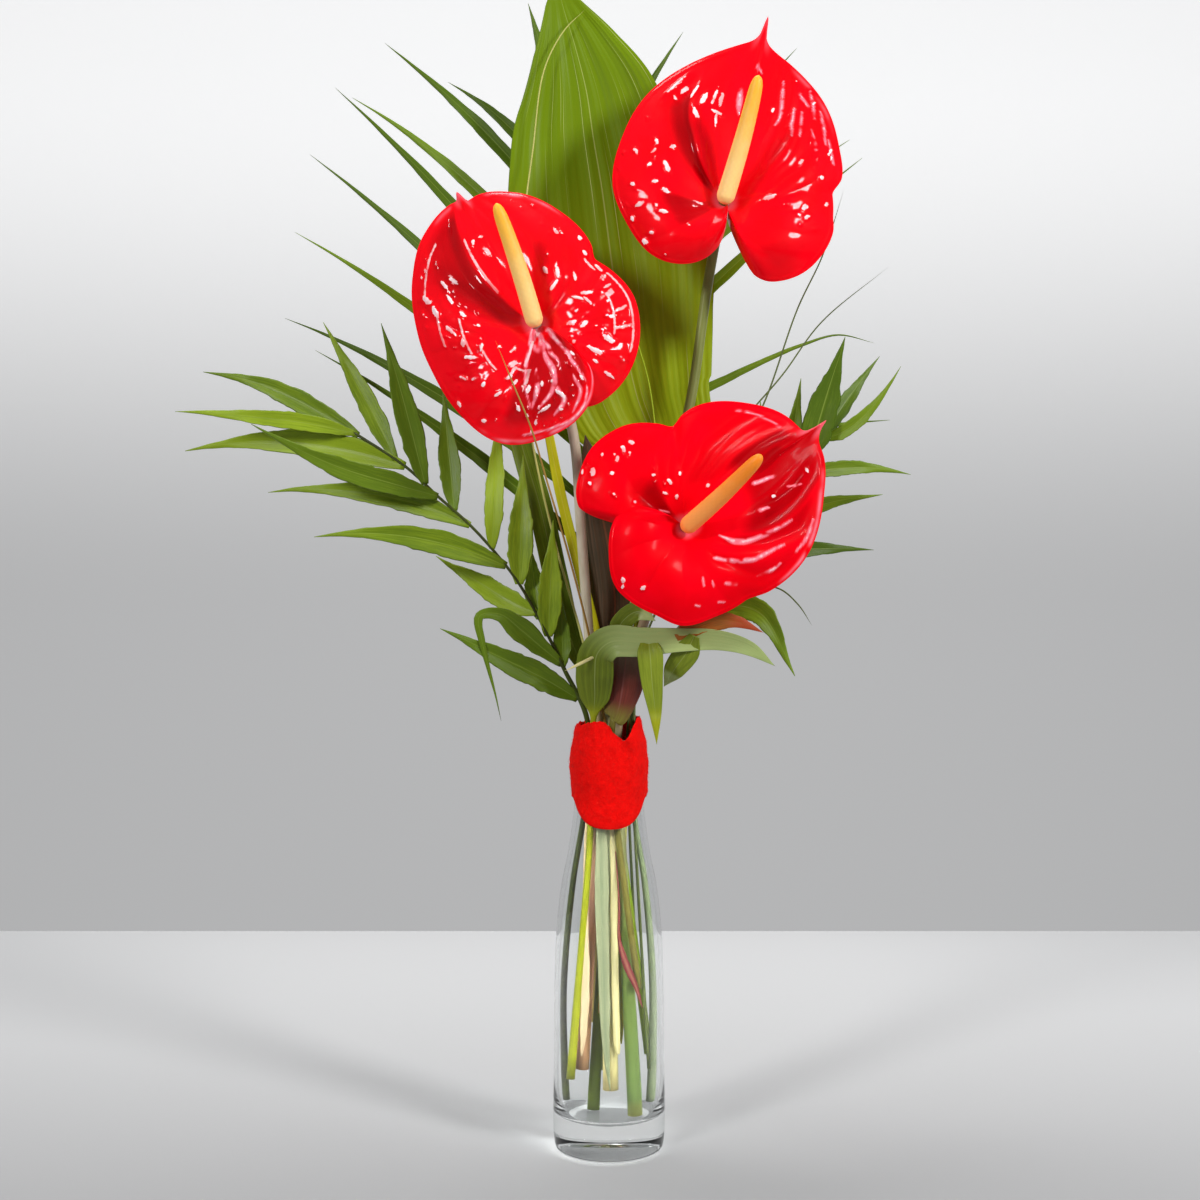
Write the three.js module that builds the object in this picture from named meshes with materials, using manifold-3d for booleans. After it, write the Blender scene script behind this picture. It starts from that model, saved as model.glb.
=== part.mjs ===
// A tied bouquet in its vase: three red anthuriums, a broad aspidistra leaf, three palm fronds,
// narrow coloured leaves and blades of bear grass, held by a felt sleeve round the neck of a
// bottle-shaped glass vase.
// Millimetres, +Z up, front towards -Y, origin at the centre of the vase's underside.

import * as THREE from 'three';
import { mergeVertices } from 'three/addons/utils/BufferGeometryUtils.js';
import Module from 'manifold-3d';

const wasm = await Module();
wasm.setup();

// ---- Driving dimensions ----

// Vase: [radius, height] down the outside and up the inside, wall about 2.7, floor 20 thick.
const VASE_OUTER = [
  [25, 0], [29.5, 2], [31, 6.5], [31, 60], [30.7, 98], [29.4, 128], [26.8, 150],
  [23.4, 167], [20.6, 186], [18.6, 210], [17.7, 228], [16.7, 230],
];
const VASE_INNER = [
  [15.6, 228.5], [15.8, 210], [17.8, 186], [20.7, 167], [24.1, 150], [26.7, 128],
  [28, 98], [28.3, 60], [28.3, 29], [26.3, 22.5], [20, 20],
];
const VASE_SIDES = 36;

// Felt sleeve: outside radius by height, and the heights of its two edges at the front and sides.
const SLEEVE_RADIUS = [
  [184, 22.9], [192, 22.4], [200, 21.6], [208, 22], [216, 22.3], [226, 21.6],
  [235, 19.9], [242, 18.3], [249, 16.9],
];
const SLEEVE = { thickness: 1.7, clearance: 0.35, hem: 200, hemDip: 16, top: 246, rows: 8 };

// The top edge has a notch at this angle from the right side, and lies lower on the left.
const NOTCH = { angle: -66, width: 26, depth: 11, leftDrop: 4 };

// The stretch of the neck where every stem stands upright in its own place.
const NECK = { low: 205, high: 243 };

// Anthuriums. Angles are in degrees anticlockwise from the spathe's tip, seen from the front;
// the outline gives the radius from the heart, where stem, spathe and spadix meet. The collar is
// the radius of the spathe's hole there, and the helix lifts one basal lobe over the other.
// The stem turns square to the spathe at the two bends behind its heart and ends in front of it.
// The midrib lies in a valley so many degrees wide, the basal lobes rise between two angles,
// and the rim rolls back by a share of the bulge.
const FLOWER = {
  stemRadius: 2.8,
  stemBends: [-8, -3],
  stemEnd: 3.9,
  collar: 3.6,
  thickness: 1.3,
  helix: 4,
  midribWidth: 24,
  lobes: [110, 200],
  rimRoll: 0.35,
  spadixForward: 8.8,
  spadixUp: 1.5,
};

// How a spathe is drawn: rows from heart to rim, degrees to a column, and how much closer together
// the columns lie towards the tip.
const SPATHE_MESH = { rows: 5, degrees: 11, gather: 1.4 };
const LEFT_FLOWER = {
  heart: [-39.3, -52, 457.7],
  tipAngle: 120.3,
  outline: [
    [-213, 13], [-205, 27.3], [-190, 45.9], [-170, 54.7], [-146, 56.4], [-108, 54.9], [-82, 49.8],
    [-72, 48], [-64, 53.2], [-42, 64.4], [-21, 75.6], [-6, 80.5], [-2, 80], [0, 87.5], [2, 83],
    [5, 83.5], [20, 80.5], [38, 72.8], [65, 63.9], [87, 61.1], [107, 62.8], [134, 67.1],
    [156, 62.1], [176, 55.8], [197, 41.7], [204, 30.9], [210, 17.2],
  ],
  nearSide: 1,
  bulge: 9,
  lobeLift: 5,
  lean: -0.2,
  spadixTip: [-58.9, -80, 515.6],
  spadixRadius: 4.8,
  foot: [-15, -4, 47],
  footRadius: 3.8,
  slot: [-6.5, -1.5],
  rise: [[-11.3, -8, 291], [-15.6, -20, 349], [-20, -33, 402], [-32, -40, 439], [-38.4, -42.5, 454]],
};
const TOP_FLOWER = {
  heart: [62.8, -30, 528.1],
  tipAngle: 76.4,
  outline: [
    [-153, 9], [-150, 20], [-144, 43.8], [-130, 53.9], [-111, 59.9], [-91, 62.3], [-82, 60.9],
    [-71, 60.8], [-63, 67.9], [-49, 73.2], [-31, 82.3], [-12, 90.7], [-4, 96], [-1.3, 103],
    [0, 114], [1.2, 105], [3, 99], [6, 95.8], [25, 83.8], [47, 75.6], [71, 66.9], [94, 62],
    [117, 54.7], [142, 49.7], [164, 40.8], [184, 27.4], [198, 12.9], [204, 8],
  ],
  nearSide: 1,
  bulge: 9,
  lobeLift: 3,
  lean: -0.2,
  spadixTip: [79.2, -58, 588.8],
  spadixRadius: 5,
  foot: [0.8, -7, 36],
  footRadius: 4.4,
  slot: [-0.55, -2.5],
  rise: [[9, -1, 288], [23, -1, 338], [36, 0, 385], [46, 0, 423], [55, -5, 485], [60.4, -16, 517]],
};
const RIGHT_FLOWER = {
  heart: [40.5, -58, 349],
  tipAngle: 37.4,
  outline: [
    [-248, 16.7], [-238, 31], [-227, 37], [-199, 43.3], [-172, 49.6], [-149, 49.3], [-129, 52.4],
    [-107, 50], [-89, 50.3], [-74, 56.6], [-50, 67.5], [-25, 77.2], [-10, 85.4], [-4, 88.5],
    [-1.5, 90], [0, 97.5], [1.2, 89], [2.5, 84], [9, 82.7], [27, 75.4], [46, 66.8], [54, 60.9],
    [60, 54.9], [67, 57.6], [86, 64], [101, 65.5], [116, 63.3], [132, 57.9], [136, 50],
    [139, 40], [146, 24.9], [151, 11.8],
  ],
  nearSide: -1,
  bulge: 8,
  lobeLift: 5,
  lean: -0.2,
  spadixTip: [77.2, -95, 384],
  spadixRadius: 4.8,
  foot: [14.5, -10, 21.4],
  footRadius: 4.2,
  slot: [5.2, -3.6],
  rise: [[12.5, -8, 272], [20, -18, 300], [31, -36, 328], [37.5, -47, 342]],
};

// Leaves, as stations from the cut end to the tip: [x, y, z, half width, thickness].
// cup is how far the edges come forward, as a share of the half width.
const LEAVES = {
  aspidistra_leaf: {
    foot: [23, 9, 52],
    slot: [3.85, 5.25],
    petiole: [2.2, 2.6],
    columns: 6,
    cup: 0.1,
    colour: 'leaf',
    blade: [
      [9.7, 10, 276, 3, 3], [15.5, 13, 310, 8, 1.8], [21.3, 16, 356, 23, 1.4],
      [24.3, 20, 403, 35.2, 1.3], [16.3, 22, 428, 44.5, 1.3], [7.7, 24, 467, 53.3, 1.3],
      [1.9, 24, 504.5, 58.5, 1.3], [-3.9, 24, 548, 55, 1.3], [-9, 22, 578, 48, 1.3],
      [-13, 19.5, 604, 38.5, 1.3], [-19.5, 16.5, 629, 25, 1.2], [-27, 13, 653, 9.7, 1.1],
      [-30, 11, 667.7, 0, 0],
    ],
  },
  strap_leaf: {
    foot: [-17, 11, 60],
    slot: [-6.1, 4.2],
    petiole: [2, 2.4],
    columns: 4,
    cup: 0.3,
    colour: 'dark_leaf',
    blade: [
      [-13, 8, 268, 3, 2.4], [-21, 10, 286, 6, 1.6], [-30, 11, 322, 7, 1.4], [-39, 12, 362, 7, 1.4],
      [-49, 12, 396, 6.5, 1.4], [-58, 9, 430, 4.5, 1.3], [-66, 2, 463, 0, 0],
    ],
  },
  cordyline_leaf: {
    foot: [-9, 0.5, 20.7],
    slot: [0.7, 2.2],
    petiole: [1.8, 3.6],
    columns: 4,
    cup: -0.15,
    colour: 'bronze_leaf',
    blade: [
      [1.5, 5, 262, 4, 2], [2, 5.5, 285, 10, 1.4], [3.4, 6, 310, 14, 1.3], [0.5, 6.5, 335, 14, 1.3],
      [-3.4, 7, 356, 12.5, 1.3], [-9.6, 7, 384, 7.5, 1.3], [-13.6, 6, 404.5, 0, 0],
    ],
  },
  striped_blade: {
    foot: [-9, 9, 70],
    slot: [-2.7, 2.9],
    petiole: [1.3, 1.6],
    columns: 2,
    cup: 0.4,
    colour: 'striped_leaf',
    blade: [
      [-5.1, 4, 282, 2, 2], [-15.2, 2, 321.6, 3, 1.4], [-26.6, 0, 366.8, 3, 1.4],
      [-33.3, -3, 400.6, 2.6, 1.3], [-38.8, -6, 433.9, 0, 0],
    ],
  },
  bronze_leaf: {
    foot: [16, -14, 94],
    slot: [2.2, -13.1],
    petiole: [1.8, 1.9],
    columns: 4,
    cup: -0.35,
    colour: 'bronze_leaf',
    blade: [
      [5.5, -14.2, 251, 8.5, 1.5], [7.7, -16.5, 264, 11.5, 1.4], [9, -18.5, 278, 10.5, 1.3],
      [7, -20, 290, 0, 0],
    ],
  },
};

// The collar leaf folds over in front of the stems. Three leaflets and a thin pale tip spring
// from its fold.
const COLLAR_LEAF = {
  foot: [-21, -12, 43.5],
  slot: [-8.8, -10],
  petiole: [1.7, 2.3],
  columns: 4,
  cup: 0.12,
  blade: [
    [-8, -16, 257, 8.5, 1.5], [-8, -23.5, 269, 10.5, 1.4], [-6.5, -30, 281, 10, 1.3],
    [1, -35, 287.5, 9, 1.3], [16.6, -37, 287.5, 8, 1.3], [38, -38, 288.6, 6.5, 1.3],
    [59, -37, 288.5, 5.5, 1.3], [76, -34, 284, 4, 1.2], [91, -28, 274, 0, 0],
  ],
  leaflets: [
    [
      [21, -35.5, 290, 3, 1.3], [22, -39.5, 281, 7, 1.3], [23, -38.5, 267, 6, 1.3],
      [25, -34.5, 249, 3.5, 1.2], [26, -29, 231, 0, 0],
    ],
    [[46, -39.5, 291, 3, 1.3], [42, -36.5, 282, 7, 1.3], [36, -31, 273, 6, 1.3], [30, -24, 262.5, 0, 0]],
    [[4, -36.2, 287, 3, 1.3], [6, -34, 297, 5.5, 1.3], [15, -37, 304, 5.5, 1.3], [25, -41, 299, 0, 0]],
    [[-8, -28, 279.5, 0.9, 1.2], [-16, -31.5, 275.5, 0.9, 1.2], [-24.5, -33, 271.5, 0, 0]],
  ],
};

// Palm fronds: the rib's points above the neck, and leaflets as
// [place on the rib, tip, half width, rise of the arch]. Those that bend sharply also have
// their elbow and how wide they are past it, as a share of the rest.
// The place on the rib is counted in the rib's points from the neck.
const FRONDS = {
  palm_frond_back: {
    feet: [[-5, 20, 40]],
    slot: [-2.5, 12.9],
    ribRadius: 1.8,
    footRadius: 2.4,
    rib: [[-3, 20, 287], [-5, 30, 345], [-10, 40, 428], [-17, 46, 511], [-27, 46, 588], [-36, 42, 645]],
    leaflets: [
      [5.2, [-47.7, 45, 663.8], 3, 0], [4.5, [-96.3, 58, 621], 4, 6], [4.2, [-132.8, 48, 641], 4.2, 6],
      [3.65, [-154.5, 62, 613], 4.2, 12], [3.2, [-160.6, 36, 611], 4.2, 8],
      [2.85, [-178.7, 56, 577], 4.2, 8], [2.55, [-181.5, 22, 523], 4.2, 10],
      [2.2, [-191.5, 44, 477], 4.2, 12], [1.8, [-169.3, 18, 454.3], 4, 8],
      [5.1, [-5, 55, 657], 3, 0], [4.25, [45, 62, 652.5], 4, 6], [3.65, [111, 42, 636], 4.2, 6],
      [3.3, [145, 60, 587], 4.2, 8], [2.95, [147.7, 30, 568], 4.2, 6],
      [2.7, [158, 50, 463.3], 4.2, 0, [135.4, 46, 467.4], 0.6], [2.3, [163, 24, 414.6], 4, 10],
    ],
    colour: 'leaf',
  },
  palm_frond_left: {
    feet: [[-24.5, -1, 28], [-25.8, -1, 90], [-20.5, -1, 150], [-14.6, -1.4, 186]],
    slot: [-12.4, -1.5],
    ribRadius: 1.5,
    footRadius: 2.2,
    rib: [
      [-25, -7, 271], [-32.5, -9, 287], [-50, -13, 319], [-62.4, -14, 335.4], [-77.5, -14, 352],
      [-95.4, -13, 368], [-114, -11, 385], [-143.8, -6, 404.6],
    ],
    leaflets: [
      [7.9, [-233.3, 16, 441.4], 6, 6], [7.95, [-242.8, -10, 415.7], 5, 3],
      [7, [-244.6, 20, 396.3], 8, 9], [6, [-196.9, -26, 407], 6.5, -4], [5, [-195.5, 14, 372], 6.2, 9],
      [3.6, [-161.6, -30, 344.8], 6.8, 8], [2.5, [-98.4, 6, 335.3], 6.8, -2],
      [1.2, [-60, -16, 243], 6.8, 0, [-70, -22, 306], 0.4], [0.4, [-93, -26, 294.6], 7.2, 2],
      [7.2, [-164.6, 18, 470.4], 5.8, 2], [6.4, [-126.2, -20, 463.5], 6.7, 2],
      [5.5, [-94.2, 4, 430.6], 6, 0], [4.2, [-61.5, -12, 419], 5.5, 0], [3, [-48.2, -8, 391.6], 7.3, 0],
      [2.4, [-44.7, 2, 341.5], 6, 0], [2.1, [-31.3, -12, 354.9], 7, 0], [1.1, [-27, -4, 313], 5, 0],
    ],
    colour: 'leaf',
  },
  palm_frond_right: {
    feet: [[24, 2, 26], [25.2, 2, 90], [20.5, 2, 150], [14.9, 2.4, 186]],
    slot: [13.45, 2.4],
    ribRadius: 1.5,
    footRadius: 2.9,
    rib: [
      [15, 1, 259], [27, -2, 279], [48, -2, 305], [77, 0, 339], [97, 2, 368], [112, 4, 389],
      [122, 6, 403],
    ],
    leaflets: [
      [6, [132, -10, 457.4], 8.8, 0], [6.6, [156.8, 22, 451.4], 4.5, 2], [6.95, [164, -6, 441.7], 4, -9],
      [5.6, [175, 24, 383], 4.5, 4], [4.5, [152.3, -14, 369], 4.8, 2], [3.9, [153, 20, 339.2], 5, 2],
      [3.1, [103.2, -16, 268], 7.5, 0, [82.3, -14, 303.6], 1], [5.2, [110.2, 14, 437.6], 5.5, 0],
      [4.6, [87, 16, 425.3], 5.5, 0], [3.8, [66.4, 12, 396.2], 5.5, 0], [3.1, [46.2, 8, 367.3], 5, 0],
    ],
    colour: 'leaf',
  },
};

// A leaflet's half width from root to tip, as shares of its greatest.
const LEAFLET_WIDTHS = [[0, 0.3], [0.12, 0.72], [0.3, 1], [0.5, 0.9], [0.68, 0.54], [0.86, 0.22], [1, 0]];
const LEAFLET = { thickness: 1.3, keel: 0.35, elbowShare: 0.4 };

// Bear grass: thin blades, each from its foot through its place in the neck to its tip.
const GRASS = { half: 0.9, thickness: 1.2, tip: 0.35 };
const GRASS_BLADES = [
  {
    foot: [-14, 2.5, 90],
    slot: [-9.3, 1.3],
    rise: [
      [-9.5, 1, 262], [-15, -1, 288], [-31, -3, 345], [-45, -4, 410], [-50, 0, 470], [-48, 8, 530],
      [-43.5, 10, 567], [-37, 10, 613], [-26, 10, 635], [-14, 12, 648],
    ],
  },
  {
    foot: [22, -6, 47.5],
    slot: [13.6, -0.4],
    rise: [
      [16, -4, 270], [20, -4, 288], [46, -3, 344], [74, -4, 395], [88, -4, 423], [106, -4, 474],
      [120, -6, 504], [132, -6, 541],
    ],
  },
  {
    foot: [9, 19, 85],
    slot: [5.6, 13],
    rise: [
      [8, 14, 270], [20, 22, 310], [40, 27, 360], [70, 23, 405], [100, 22, 440], [123, 22, 471],
      [161, 16, 502],
    ],
  },
  {
    foot: [16, 14, 95],
    slot: [11.3, 8.1],
    rise: [
      [22, 9, 279], [45, 8, 298], [72, 0, 316], [94, -10, 317], [105, -14, 308], [113, -14, 296],
    ],
  },
  {
    foot: [-5, -12, 80],
    slot: [-2.4, -6.3],
    rise: [
      [-6.2, -10, 256], [-10.6, -20, 288], [-21.4, -37, 332], [-34, -60, 376], [-41, -78, 400],
      [-50, -83, 422], [-59, -85, 444],
    ],
  },
  {
    foot: [14, 2, 100],
    slot: [6, 0.3],
    rise: [
      [7.5, 2.5, 262], [13.5, 2.5, 288], [20, 4.5, 338], [27, 2, 385], [26, -4, 406], [22, -4, 434],
      [15, -4, 459], [10, -2, 485],
    ],
  },
];

// How the lower part of a round stem is drawn: its top is this share of the stem's radius.
const FLARE = { rows: 5, sunk: 0.9 };

const FINISHES = {
  glass: { color: 0xdfeceb, roughness: 0.03, metalness: 0, transparent: true, opacity: 0.35 },
  felt: { color: 0xd9130f, roughness: 0.95, metalness: 0 },
  spathe: { color: 0xd6081a, roughness: 0.18, metalness: 0 },
  spadix: { color: 0xf0b455, roughness: 0.6, metalness: 0 },
  stem: { color: 0x8f9a63, roughness: 0.5, metalness: 0 },
  leaf: { color: 0x4d7a1c, roughness: 0.35, metalness: 0 },
  dark_leaf: { color: 0x33451c, roughness: 0.35, metalness: 0 },
  bronze_leaf: { color: 0x4a2622, roughness: 0.4, metalness: 0 },
  striped_leaf: { color: 0xb9b62a, roughness: 0.4, metalness: 0 },
  grass: { color: 0x8a9a3a, roughness: 0.5, metalness: 0 },
};

// ---- Shapes shared by the pieces ----

const FRONT = new THREE.Vector3(0, -1, 0);
const vector = (point) => new THREE.Vector3(point[0], point[1], point[2]);
const radians = THREE.MathUtils.degToRad;

// The value at x on straight lines between listed [x, value] pairs.
function between(pairs, x) {
  const last = pairs.length - 1;
  for (let i = 0; i < last; i += 1) {
    const [x0, value0] = pairs[i];
    const [x1, value1] = pairs[i + 1];
    if (x <= x1 || i === last - 1) {
      const share = THREE.MathUtils.clamp((x - x0) / (x1 - x0), 0, 1);
      return THREE.MathUtils.lerp(value0, value1, share);
    }
  }
  return pairs[last][1];
}

// A closed sheet of columns by rows: place(u, v, side) gives the front (side 1) and back (side -1)
// points. Both faces are split along the same diagonals. Points that coincide are joined, so an
// edge or tip of no thickness closes by itself. A ring's first and last columns coincide.
function sheet(columns, rows, place, ring = false) {
  const positions = [];
  const across = columns + 1;
  const faceSize = across * (rows + 1);
  for (const side of [1, -1]) {
    for (let j = 0; j <= rows; j += 1) {
      for (let i = 0; i <= columns; i += 1) {
        positions.push(...place(i / columns, j / rows, side).toArray());
      }
    }
  }
  const front = (i, j) => j * across + i;
  const back = (i, j) => faceSize + front(i, j);
  const triangles = [];
  for (let j = 0; j < rows; j += 1) {
    for (let i = 0; i < columns; i += 1) {
      triangles.push([front(i, j), front(i + 1, j), front(i + 1, j + 1)]);
      triangles.push([front(i, j), front(i + 1, j + 1), front(i, j + 1)]);
      triangles.push([back(i, j), back(i + 1, j + 1), back(i + 1, j)]);
      triangles.push([back(i, j), back(i, j + 1), back(i + 1, j + 1)]);
    }
  }
  const rim = (i0, j0, i1, j1) => {
    triangles.push([front(i0, j0), back(i0, j0), back(i1, j1)]);
    triangles.push([front(i0, j0), back(i1, j1), front(i1, j1)]);
  };
  for (let i = 0; i < columns; i += 1) {
    rim(i, 0, i + 1, 0);
    rim(i + 1, rows, i, rows);
  }
  for (let j = 0; j < rows && !ring; j += 1) {
    rim(0, j + 1, 0, j);
    rim(columns, j, columns, j + 1);
  }
  return closed(positions, triangles);
}

// A geometry of the given points and triangles, with coinciding points joined and the triangles
// that this flattens left out.
function closed(positions, triangles) {
  const loose = new THREE.BufferGeometry();
  loose.setAttribute('position', new THREE.Float32BufferAttribute(positions, 3));
  loose.setIndex(triangles.flat());
  const merged = mergeVertices(loose, 1e-3);
  const index = [];
  const corners = merged.index.array;
  for (let i = 0; i < corners.length; i += 3) {
    const [a, b, c] = corners.slice(i, i + 3);
    if (a !== b && b !== c && c !== a) {
      index.push(a, b, c);
    }
  }
  merged.setIndex(index);
  return merged;
}

// The middle line, across direction and front direction at each station of a blade.
function frames(points, facing) {
  return points.map((point, i) => {
    const before = points[Math.max(i - 1, 0)];
    const after = points[Math.min(i + 1, points.length - 1)];
    const along = after.clone().sub(before).normalize();
    const across = along.clone().cross(facing).normalize();
    return { point, across, front: across.clone().cross(along) };
  });
}

// A leaf blade or round leaf stalk through its stations, closed to a point at the last one.
// Its section is a lens that follows the fold: cup is curved, keel has a sharp middle.
function blade(stations, { columns, cup = 0, keel = 0, facing = FRONT }) {
  const axis = frames(stations.map(vector), facing);
  const rows = stations.length - 1;
  return sheet(columns, rows, (u, v, side) => {
    const row = Math.round(v * rows);
    const [, , , half, thickness] = stations[row];
    const { point, across, front } = axis[row];
    const x = 2 * u - 1;
    const fold = half > 2.5 ? half * (cup * x * x + keel * Math.abs(x)) : 0;
    const skin = side * 0.5 * thickness * Math.sqrt(1 - x * x);
    return point.clone().addScaledVector(across, x * half).addScaledVector(front, fold + skin);
  });
}

// A round bar of one radius along a smooth line.
function bar(points, radius, sides, steps) {
  const section = new THREE.Shape();
  section.absarc(0, 0, radius, 0, 2 * Math.PI);
  const extrudePath = new THREE.CatmullRomCurve3(points.map(vector));
  // A full circle is drawn with two points for each curve segment.
  const settings = { steps, extrudePath, bevelEnabled: false, curveSegments: sides / 2 };
  return welded(new THREE.ExtrudeGeometry(section, settings));
}

// The same geometry with only its positions, and shared corners joined.
function welded(geometry) {
  geometry.deleteAttribute('normal');
  geometry.deleteAttribute('uv');
  const merged = mergeVertices(geometry, 1e-3);
  return closed(Array.from(merged.attributes.position.array), chunks(Array.from(merged.index.array)));
}

function chunks(index) {
  const triangles = [];
  for (let i = 0; i < index.length; i += 3) {
    triangles.push(index.slice(i, i + 3));
  }
  return triangles;
}

// One body out of several closed ones that run into each other.
function fused(geometries) {
  const solids = geometries.map((geometry) => {
    const vertProperties = new Float32Array(geometry.attributes.position.array);
    const triVerts = new Uint32Array(geometry.index.array);
    return new wasm.Manifold(new wasm.Mesh({ numProp: 3, vertProperties, triVerts }));
  });
  const { vertProperties, triVerts } = wasm.Manifold.union(solids).getMesh();
  return closed(Array.from(vertProperties), chunks(Array.from(triVerts)));
}

function part(name, geometry, finish) {
  const mesh = new THREE.Mesh(geometry, new THREE.MeshStandardMaterial(FINISHES[finish]));
  mesh.name = name;
  return mesh;
}

// The lower part of a stem, which widens from the neck down to its foot. Its top is sunk in the stem.
function flare(points, radius, footRadius) {
  const line = new THREE.CatmullRomCurve3(points.map(vector));
  const toNeck = points.findIndex((point) => point[2] === NECK.low) / (points.length - 1);
  const stations = [];
  for (let row = 0; row <= FLARE.rows; row += 1) {
    const share = row / FLARE.rows;
    const point = line.getPoint(share * toNeck);
    const width = THREE.MathUtils.lerp(footRadius, FLARE.sunk * radius, share);
    stations.push([...point.toArray(), width, 2 * width]);
  }
  return blade(stations, { columns: 4 });
}

// The upright stretch of a stem: its foot in the vase, then its place in the neck.
function upright(feet, slot) {
  return [...feet, [...slot, NECK.low], [...slot, NECK.high]];
}

// ---- Vase and sleeve ----

function vase() {
  const profile = [[0, 0], ...VASE_OUTER, ...VASE_INNER, [0, 20]];
  const points = profile.map(([radius, height]) => new THREE.Vector2(radius, height));
  const geometry = new THREE.LatheGeometry(points, VASE_SIDES);
  geometry.rotateX(Math.PI / 2);
  return part('vase', welded(geometry), 'glass');
}

// The sleeve stands off the glass by its clearance, and both its edges dip at the front.
function sleeve() {
  const glassRadius = VASE_OUTER.map(([radius, height]) => [height, radius]);
  const geometry = sheet(VASE_SIDES, SLEEVE.rows, (u, v, side) => {
    const angle = 2 * Math.PI * u;
    const fromNotch = Math.acos(Math.cos(angle - radians(NOTCH.angle)));
    const notch = NOTCH.depth * Math.exp(-((fromNotch / radians(NOTCH.width)) ** 2));
    const hem = SLEEVE.hem - SLEEVE.hemDip * THREE.MathUtils.smoothstep(-Math.sin(angle), 0.25, 1);
    const top = SLEEVE.top - notch - NOTCH.leftDrop * THREE.MathUtils.smoothstep(-Math.cos(angle), 0, 1);
    const z = THREE.MathUtils.lerp(hem, top, v);
    const outside = between(SLEEVE_RADIUS, z);
    const overGlass = z < VASE_OUTER.at(-1)[1] + 1 ? between(glassRadius, z) + SLEEVE.clearance : 0;
    const inside = Math.max(outside - SLEEVE.thickness, overGlass);
    const radius = side > 0 ? outside : inside;
    return new THREE.Vector3(radius * Math.cos(angle), radius * Math.sin(angle), z);
  }, true);
  return part('neck_sleeve', geometry, 'felt');
}

// ---- Anthuriums ----

// How far a point of the spathe stands forward of its heart: the two halves bulge on either side
// of the midrib, the near basal lobe lies over the far one on a shallow helix, and the edge rolls back.
function spatheDepth(flower, angle, share) {
  const first = flower.outline[0][0];
  const last = flower.outline.at(-1)[0];
  const turn = (angle - (first + last) / 2) / (last - first);
  const towardsNear = flower.nearSide * turn;
  const offMidrib = 1 - Math.exp(-((angle / FLOWER.midribWidth) ** 2));
  const onLobe = THREE.MathUtils.smoothstep(Math.abs(angle), ...FLOWER.lobes);
  const lobe = onLobe * Math.sign(angle) * flower.nearSide;
  const bulge = flower.bulge * Math.sin(Math.PI * share) * offMidrib;
  const roll = -FLOWER.rimRoll * flower.bulge * share ** 4;
  return FLOWER.helix * towardsNear + bulge + roll + flower.lobeLift * lobe * share;
}

function tipDirection(flower) {
  const tip = radians(flower.tipAngle);
  return new THREE.Vector3(Math.cos(tip), 0, Math.sin(tip));
}

function spathe(flower) {
  const first = flower.outline[0][0];
  const last = flower.outline.at(-1)[0];
  const leftColumns = Math.round(last / SPATHE_MESH.degrees);
  const rightColumns = Math.round(-first / SPATHE_MESH.degrees);
  const columns = leftColumns + rightColumns;
  const tip = radians(flower.tipAngle);
  const towardsTip = tipDirection(flower);
  const spread = (share) => share ** SPATHE_MESH.gather;
  return sheet(columns, SPATHE_MESH.rows, (u, v, side) => {
    const column = Math.round(u * columns);
    const angle = column <= leftColumns
      ? last * spread(1 - column / leftColumns)
      : first * spread((column - leftColumns) / rightColumns);
    const reach = THREE.MathUtils.lerp(FLOWER.collar, between(flower.outline, angle), v);
    const bearing = tip + radians(angle);
    const ray = new THREE.Vector3(Math.cos(bearing), 0, Math.sin(bearing)).multiplyScalar(reach);
    const skin = side * 0.5 * FLOWER.thickness * Math.sqrt(1 - v ** 4);
    const depth = spatheDepth(flower, angle, v) + flower.lean * ray.dot(towardsTip) + skin;
    return vector(flower.heart).add(ray).addScaledVector(FRONT, depth);
  });
}

// The spadix: a round foot, a slow taper and a round tip.
function spadix(flower) {
  const foot = vector(flower.heart).addScaledVector(FRONT, FLOWER.spadixForward);
  foot.addScaledVector(tipDirection(flower), FLOWER.spadixUp);
  const axis = vector(flower.spadixTip).sub(foot);
  const length = axis.length();
  const radius = flower.spadixRadius;
  const profile = [
    [0, -0.98 * radius], [0.7 * radius, -0.7 * radius], [radius, 0], [0.95 * radius, 0.35 * length],
    [0.85 * radius, 0.65 * length], [0.7 * radius, 0.9 * length], [0.45 * radius, 0.98 * length],
    [0, length],
  ];
  const geometry = new THREE.LatheGeometry(profile.map(([r, h]) => new THREE.Vector2(r, h)), 10);
  const turn = new THREE.Quaternion();
  turn.setFromUnitVectors(new THREE.Vector3(0, 1, 0), axis.clone().normalize());
  geometry.applyQuaternion(turn);
  geometry.translate(foot.x, foot.y, foot.z);
  return welded(geometry);
}

// The flower's stem ends square to the spathe, in the hole at its heart.
function flowerStem(flower) {
  const heart = vector(flower.heart);
  const square = [...FLOWER.stemBends, FLOWER.stemEnd].map((depth) => {
    const point = heart.clone().addScaledVector(FRONT, depth);
    return point.toArray();
  });
  const points = [...upright([flower.foot], flower.slot), ...flower.rise, ...square];
  return fused([bar(points, FLOWER.stemRadius, 8, 34), flare(points, FLOWER.stemRadius, flower.footRadius)]);
}

function anthurium(name, flower) {
  return [
    part(`${name}_stem`, flowerStem(flower), 'stem'),
    part(`${name}_spathe`, spathe(flower), 'spathe'),
    part(`${name}_spadix`, spadix(flower), 'spadix'),
  ];
}

// ---- Foliage ----

// A leaf stalk's stations, from its foot in the vase up through the neck.
function stalk(foot, slot, [radius, footRadius]) {
  return upright([foot], slot).map((point, i) => {
    const width = i === 0 ? footRadius : radius;
    return [...point, width, 2 * width];
  });
}

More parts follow.
